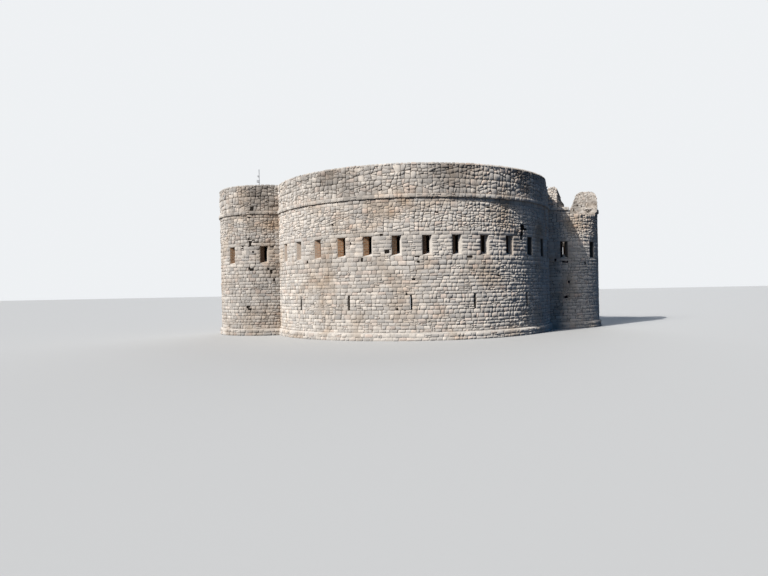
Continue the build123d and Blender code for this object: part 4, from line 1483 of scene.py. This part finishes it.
def break_walls():
    """Core stones bared on the broken ends and tops of the parapets, the notched wall and the fallen roof."""
    def off_drum(x, y, *_):
        return math.hypot(x, y) > DRUM_RADIUS + BREAK_SLACK

    def notch(x, y, z, up):
        low = STRING_UNDERSIDE - WALL_BREAK_DEPTH - BREAK_SLACK
        return up > LEVEL_RISE and off_drum(x, y) and low < z < STRING_UNDERSIDE - BREAK_SLACK

    def roof_edge(x, y, _, up):
        return abs(up) < UPRIGHT_RISE and x > RIGHT_TOWER[0] - 1.0 and off_drum(x, y)

    def drum_slope(x, _, z, up):
        return x > DRUM_BREAK_FROM * DRUM_RADIUS and z < PARAPET_TOP - TOP_SLACK and up > SLOPE_RISE

    groups = (
        ("parapet_right_tower_front", RIGHT_TOWER, (TOWER_RADIUS, TOWER_INSIDE), off_drum),
        ("parapet_right_tower_stub", RIGHT_TOWER, (TOWER_RADIUS, TOWER_INSIDE), off_drum),
        ("tower_walls_high", RIGHT_TOWER, (TOWER_RADIUS,), notch),
        ("roof_towers", RIGHT_TOWER, (TOWER_INSIDE,), roof_edge),
        ("parapet_front_right", DRUM, (DRUM_RADIUS, DRUM_INSIDE), drum_slope),
    )
    mesh = flat_mesh("broken_wall_core", [outline for group in groups for outline in broken_faces(*group)])
    piece = run_tree("broken_wall_core", mesh, broken_core_tree(), {"Material": core_stone})
    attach(piece, "root")


break_walls()


def paint_hollow_shade():
    """Dark backs of painted shade where stones have fallen out."""
    mesh = flat_mesh("fallen_stone_hollows_painted_shade", hollow_painted_shade_backs)
    mesh.materials.append(hollow_shade_material())
    piece = new_object("fallen_stone_hollows_painted_shade", mesh)
    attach(piece, "root")


paint_hollow_shade()

# Painted shade and painted light on the left cheeks of the drum's windows: dark painted shade from its middle
# rightwards, and pale painted light in lime colour towards its left end
DRUM_PAINTED_SHADE_AND_LIGHT = (
    (CHEEK_PAINTED_SHADE, -3.3, 0.2, 0.0, 0.72),
    (JOINT_LIME, -5.2, -5.9, 0.0, 0.35),
    (JOINT_LIME, -6.2, -6.7, 0.0, 0.55),
)
# Soot and painted shade on the towers' window cheeks, lighter on the left tower's left side
TOWER_SOOT_AND_PAINTED_SHADE = ((THIN_SOOT_AND_PAINTED_SHADE, -11.0, -9.8, 0.4, 0.75),)

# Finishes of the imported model's own walls, by how a node's name begins. The first that fits is taken.
TOWER_WALLS = ((LEFT_TOWER, TOWER_RADIUS), (RIGHT_TOWER, TOWER_RADIUS))
FINISHES = (
    ("window_piers", pier_material("drum window cheeks and lining", ((DRUM, DRUM_RADIUS),), DRUM_PAINTED_SHADE_AND_LIGHT)),
    ("tower_window_piers", pier_material("tower window cheeks and lining", TOWER_WALLS, TOWER_SOOT_AND_PAINTED_SHADE)),
    ("mast", mast_material()),
    ("parapet", parapet_mortar),
    (("window", "slit", "door"), dressed_stone),
    (("plinth", "string"), ledge_stone),
    (("ground_floor", "upper_floor", "roof"), paving_stone),
    ("", wall_mortar),
)
for node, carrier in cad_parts.items():
    slots = carrier.data.materials
    slots.clear()
    slots.append(next(finish for start, finish in FINISHES if node.startswith(start)))

bpy.context.scene.view_settings.view_transform = "Standard"
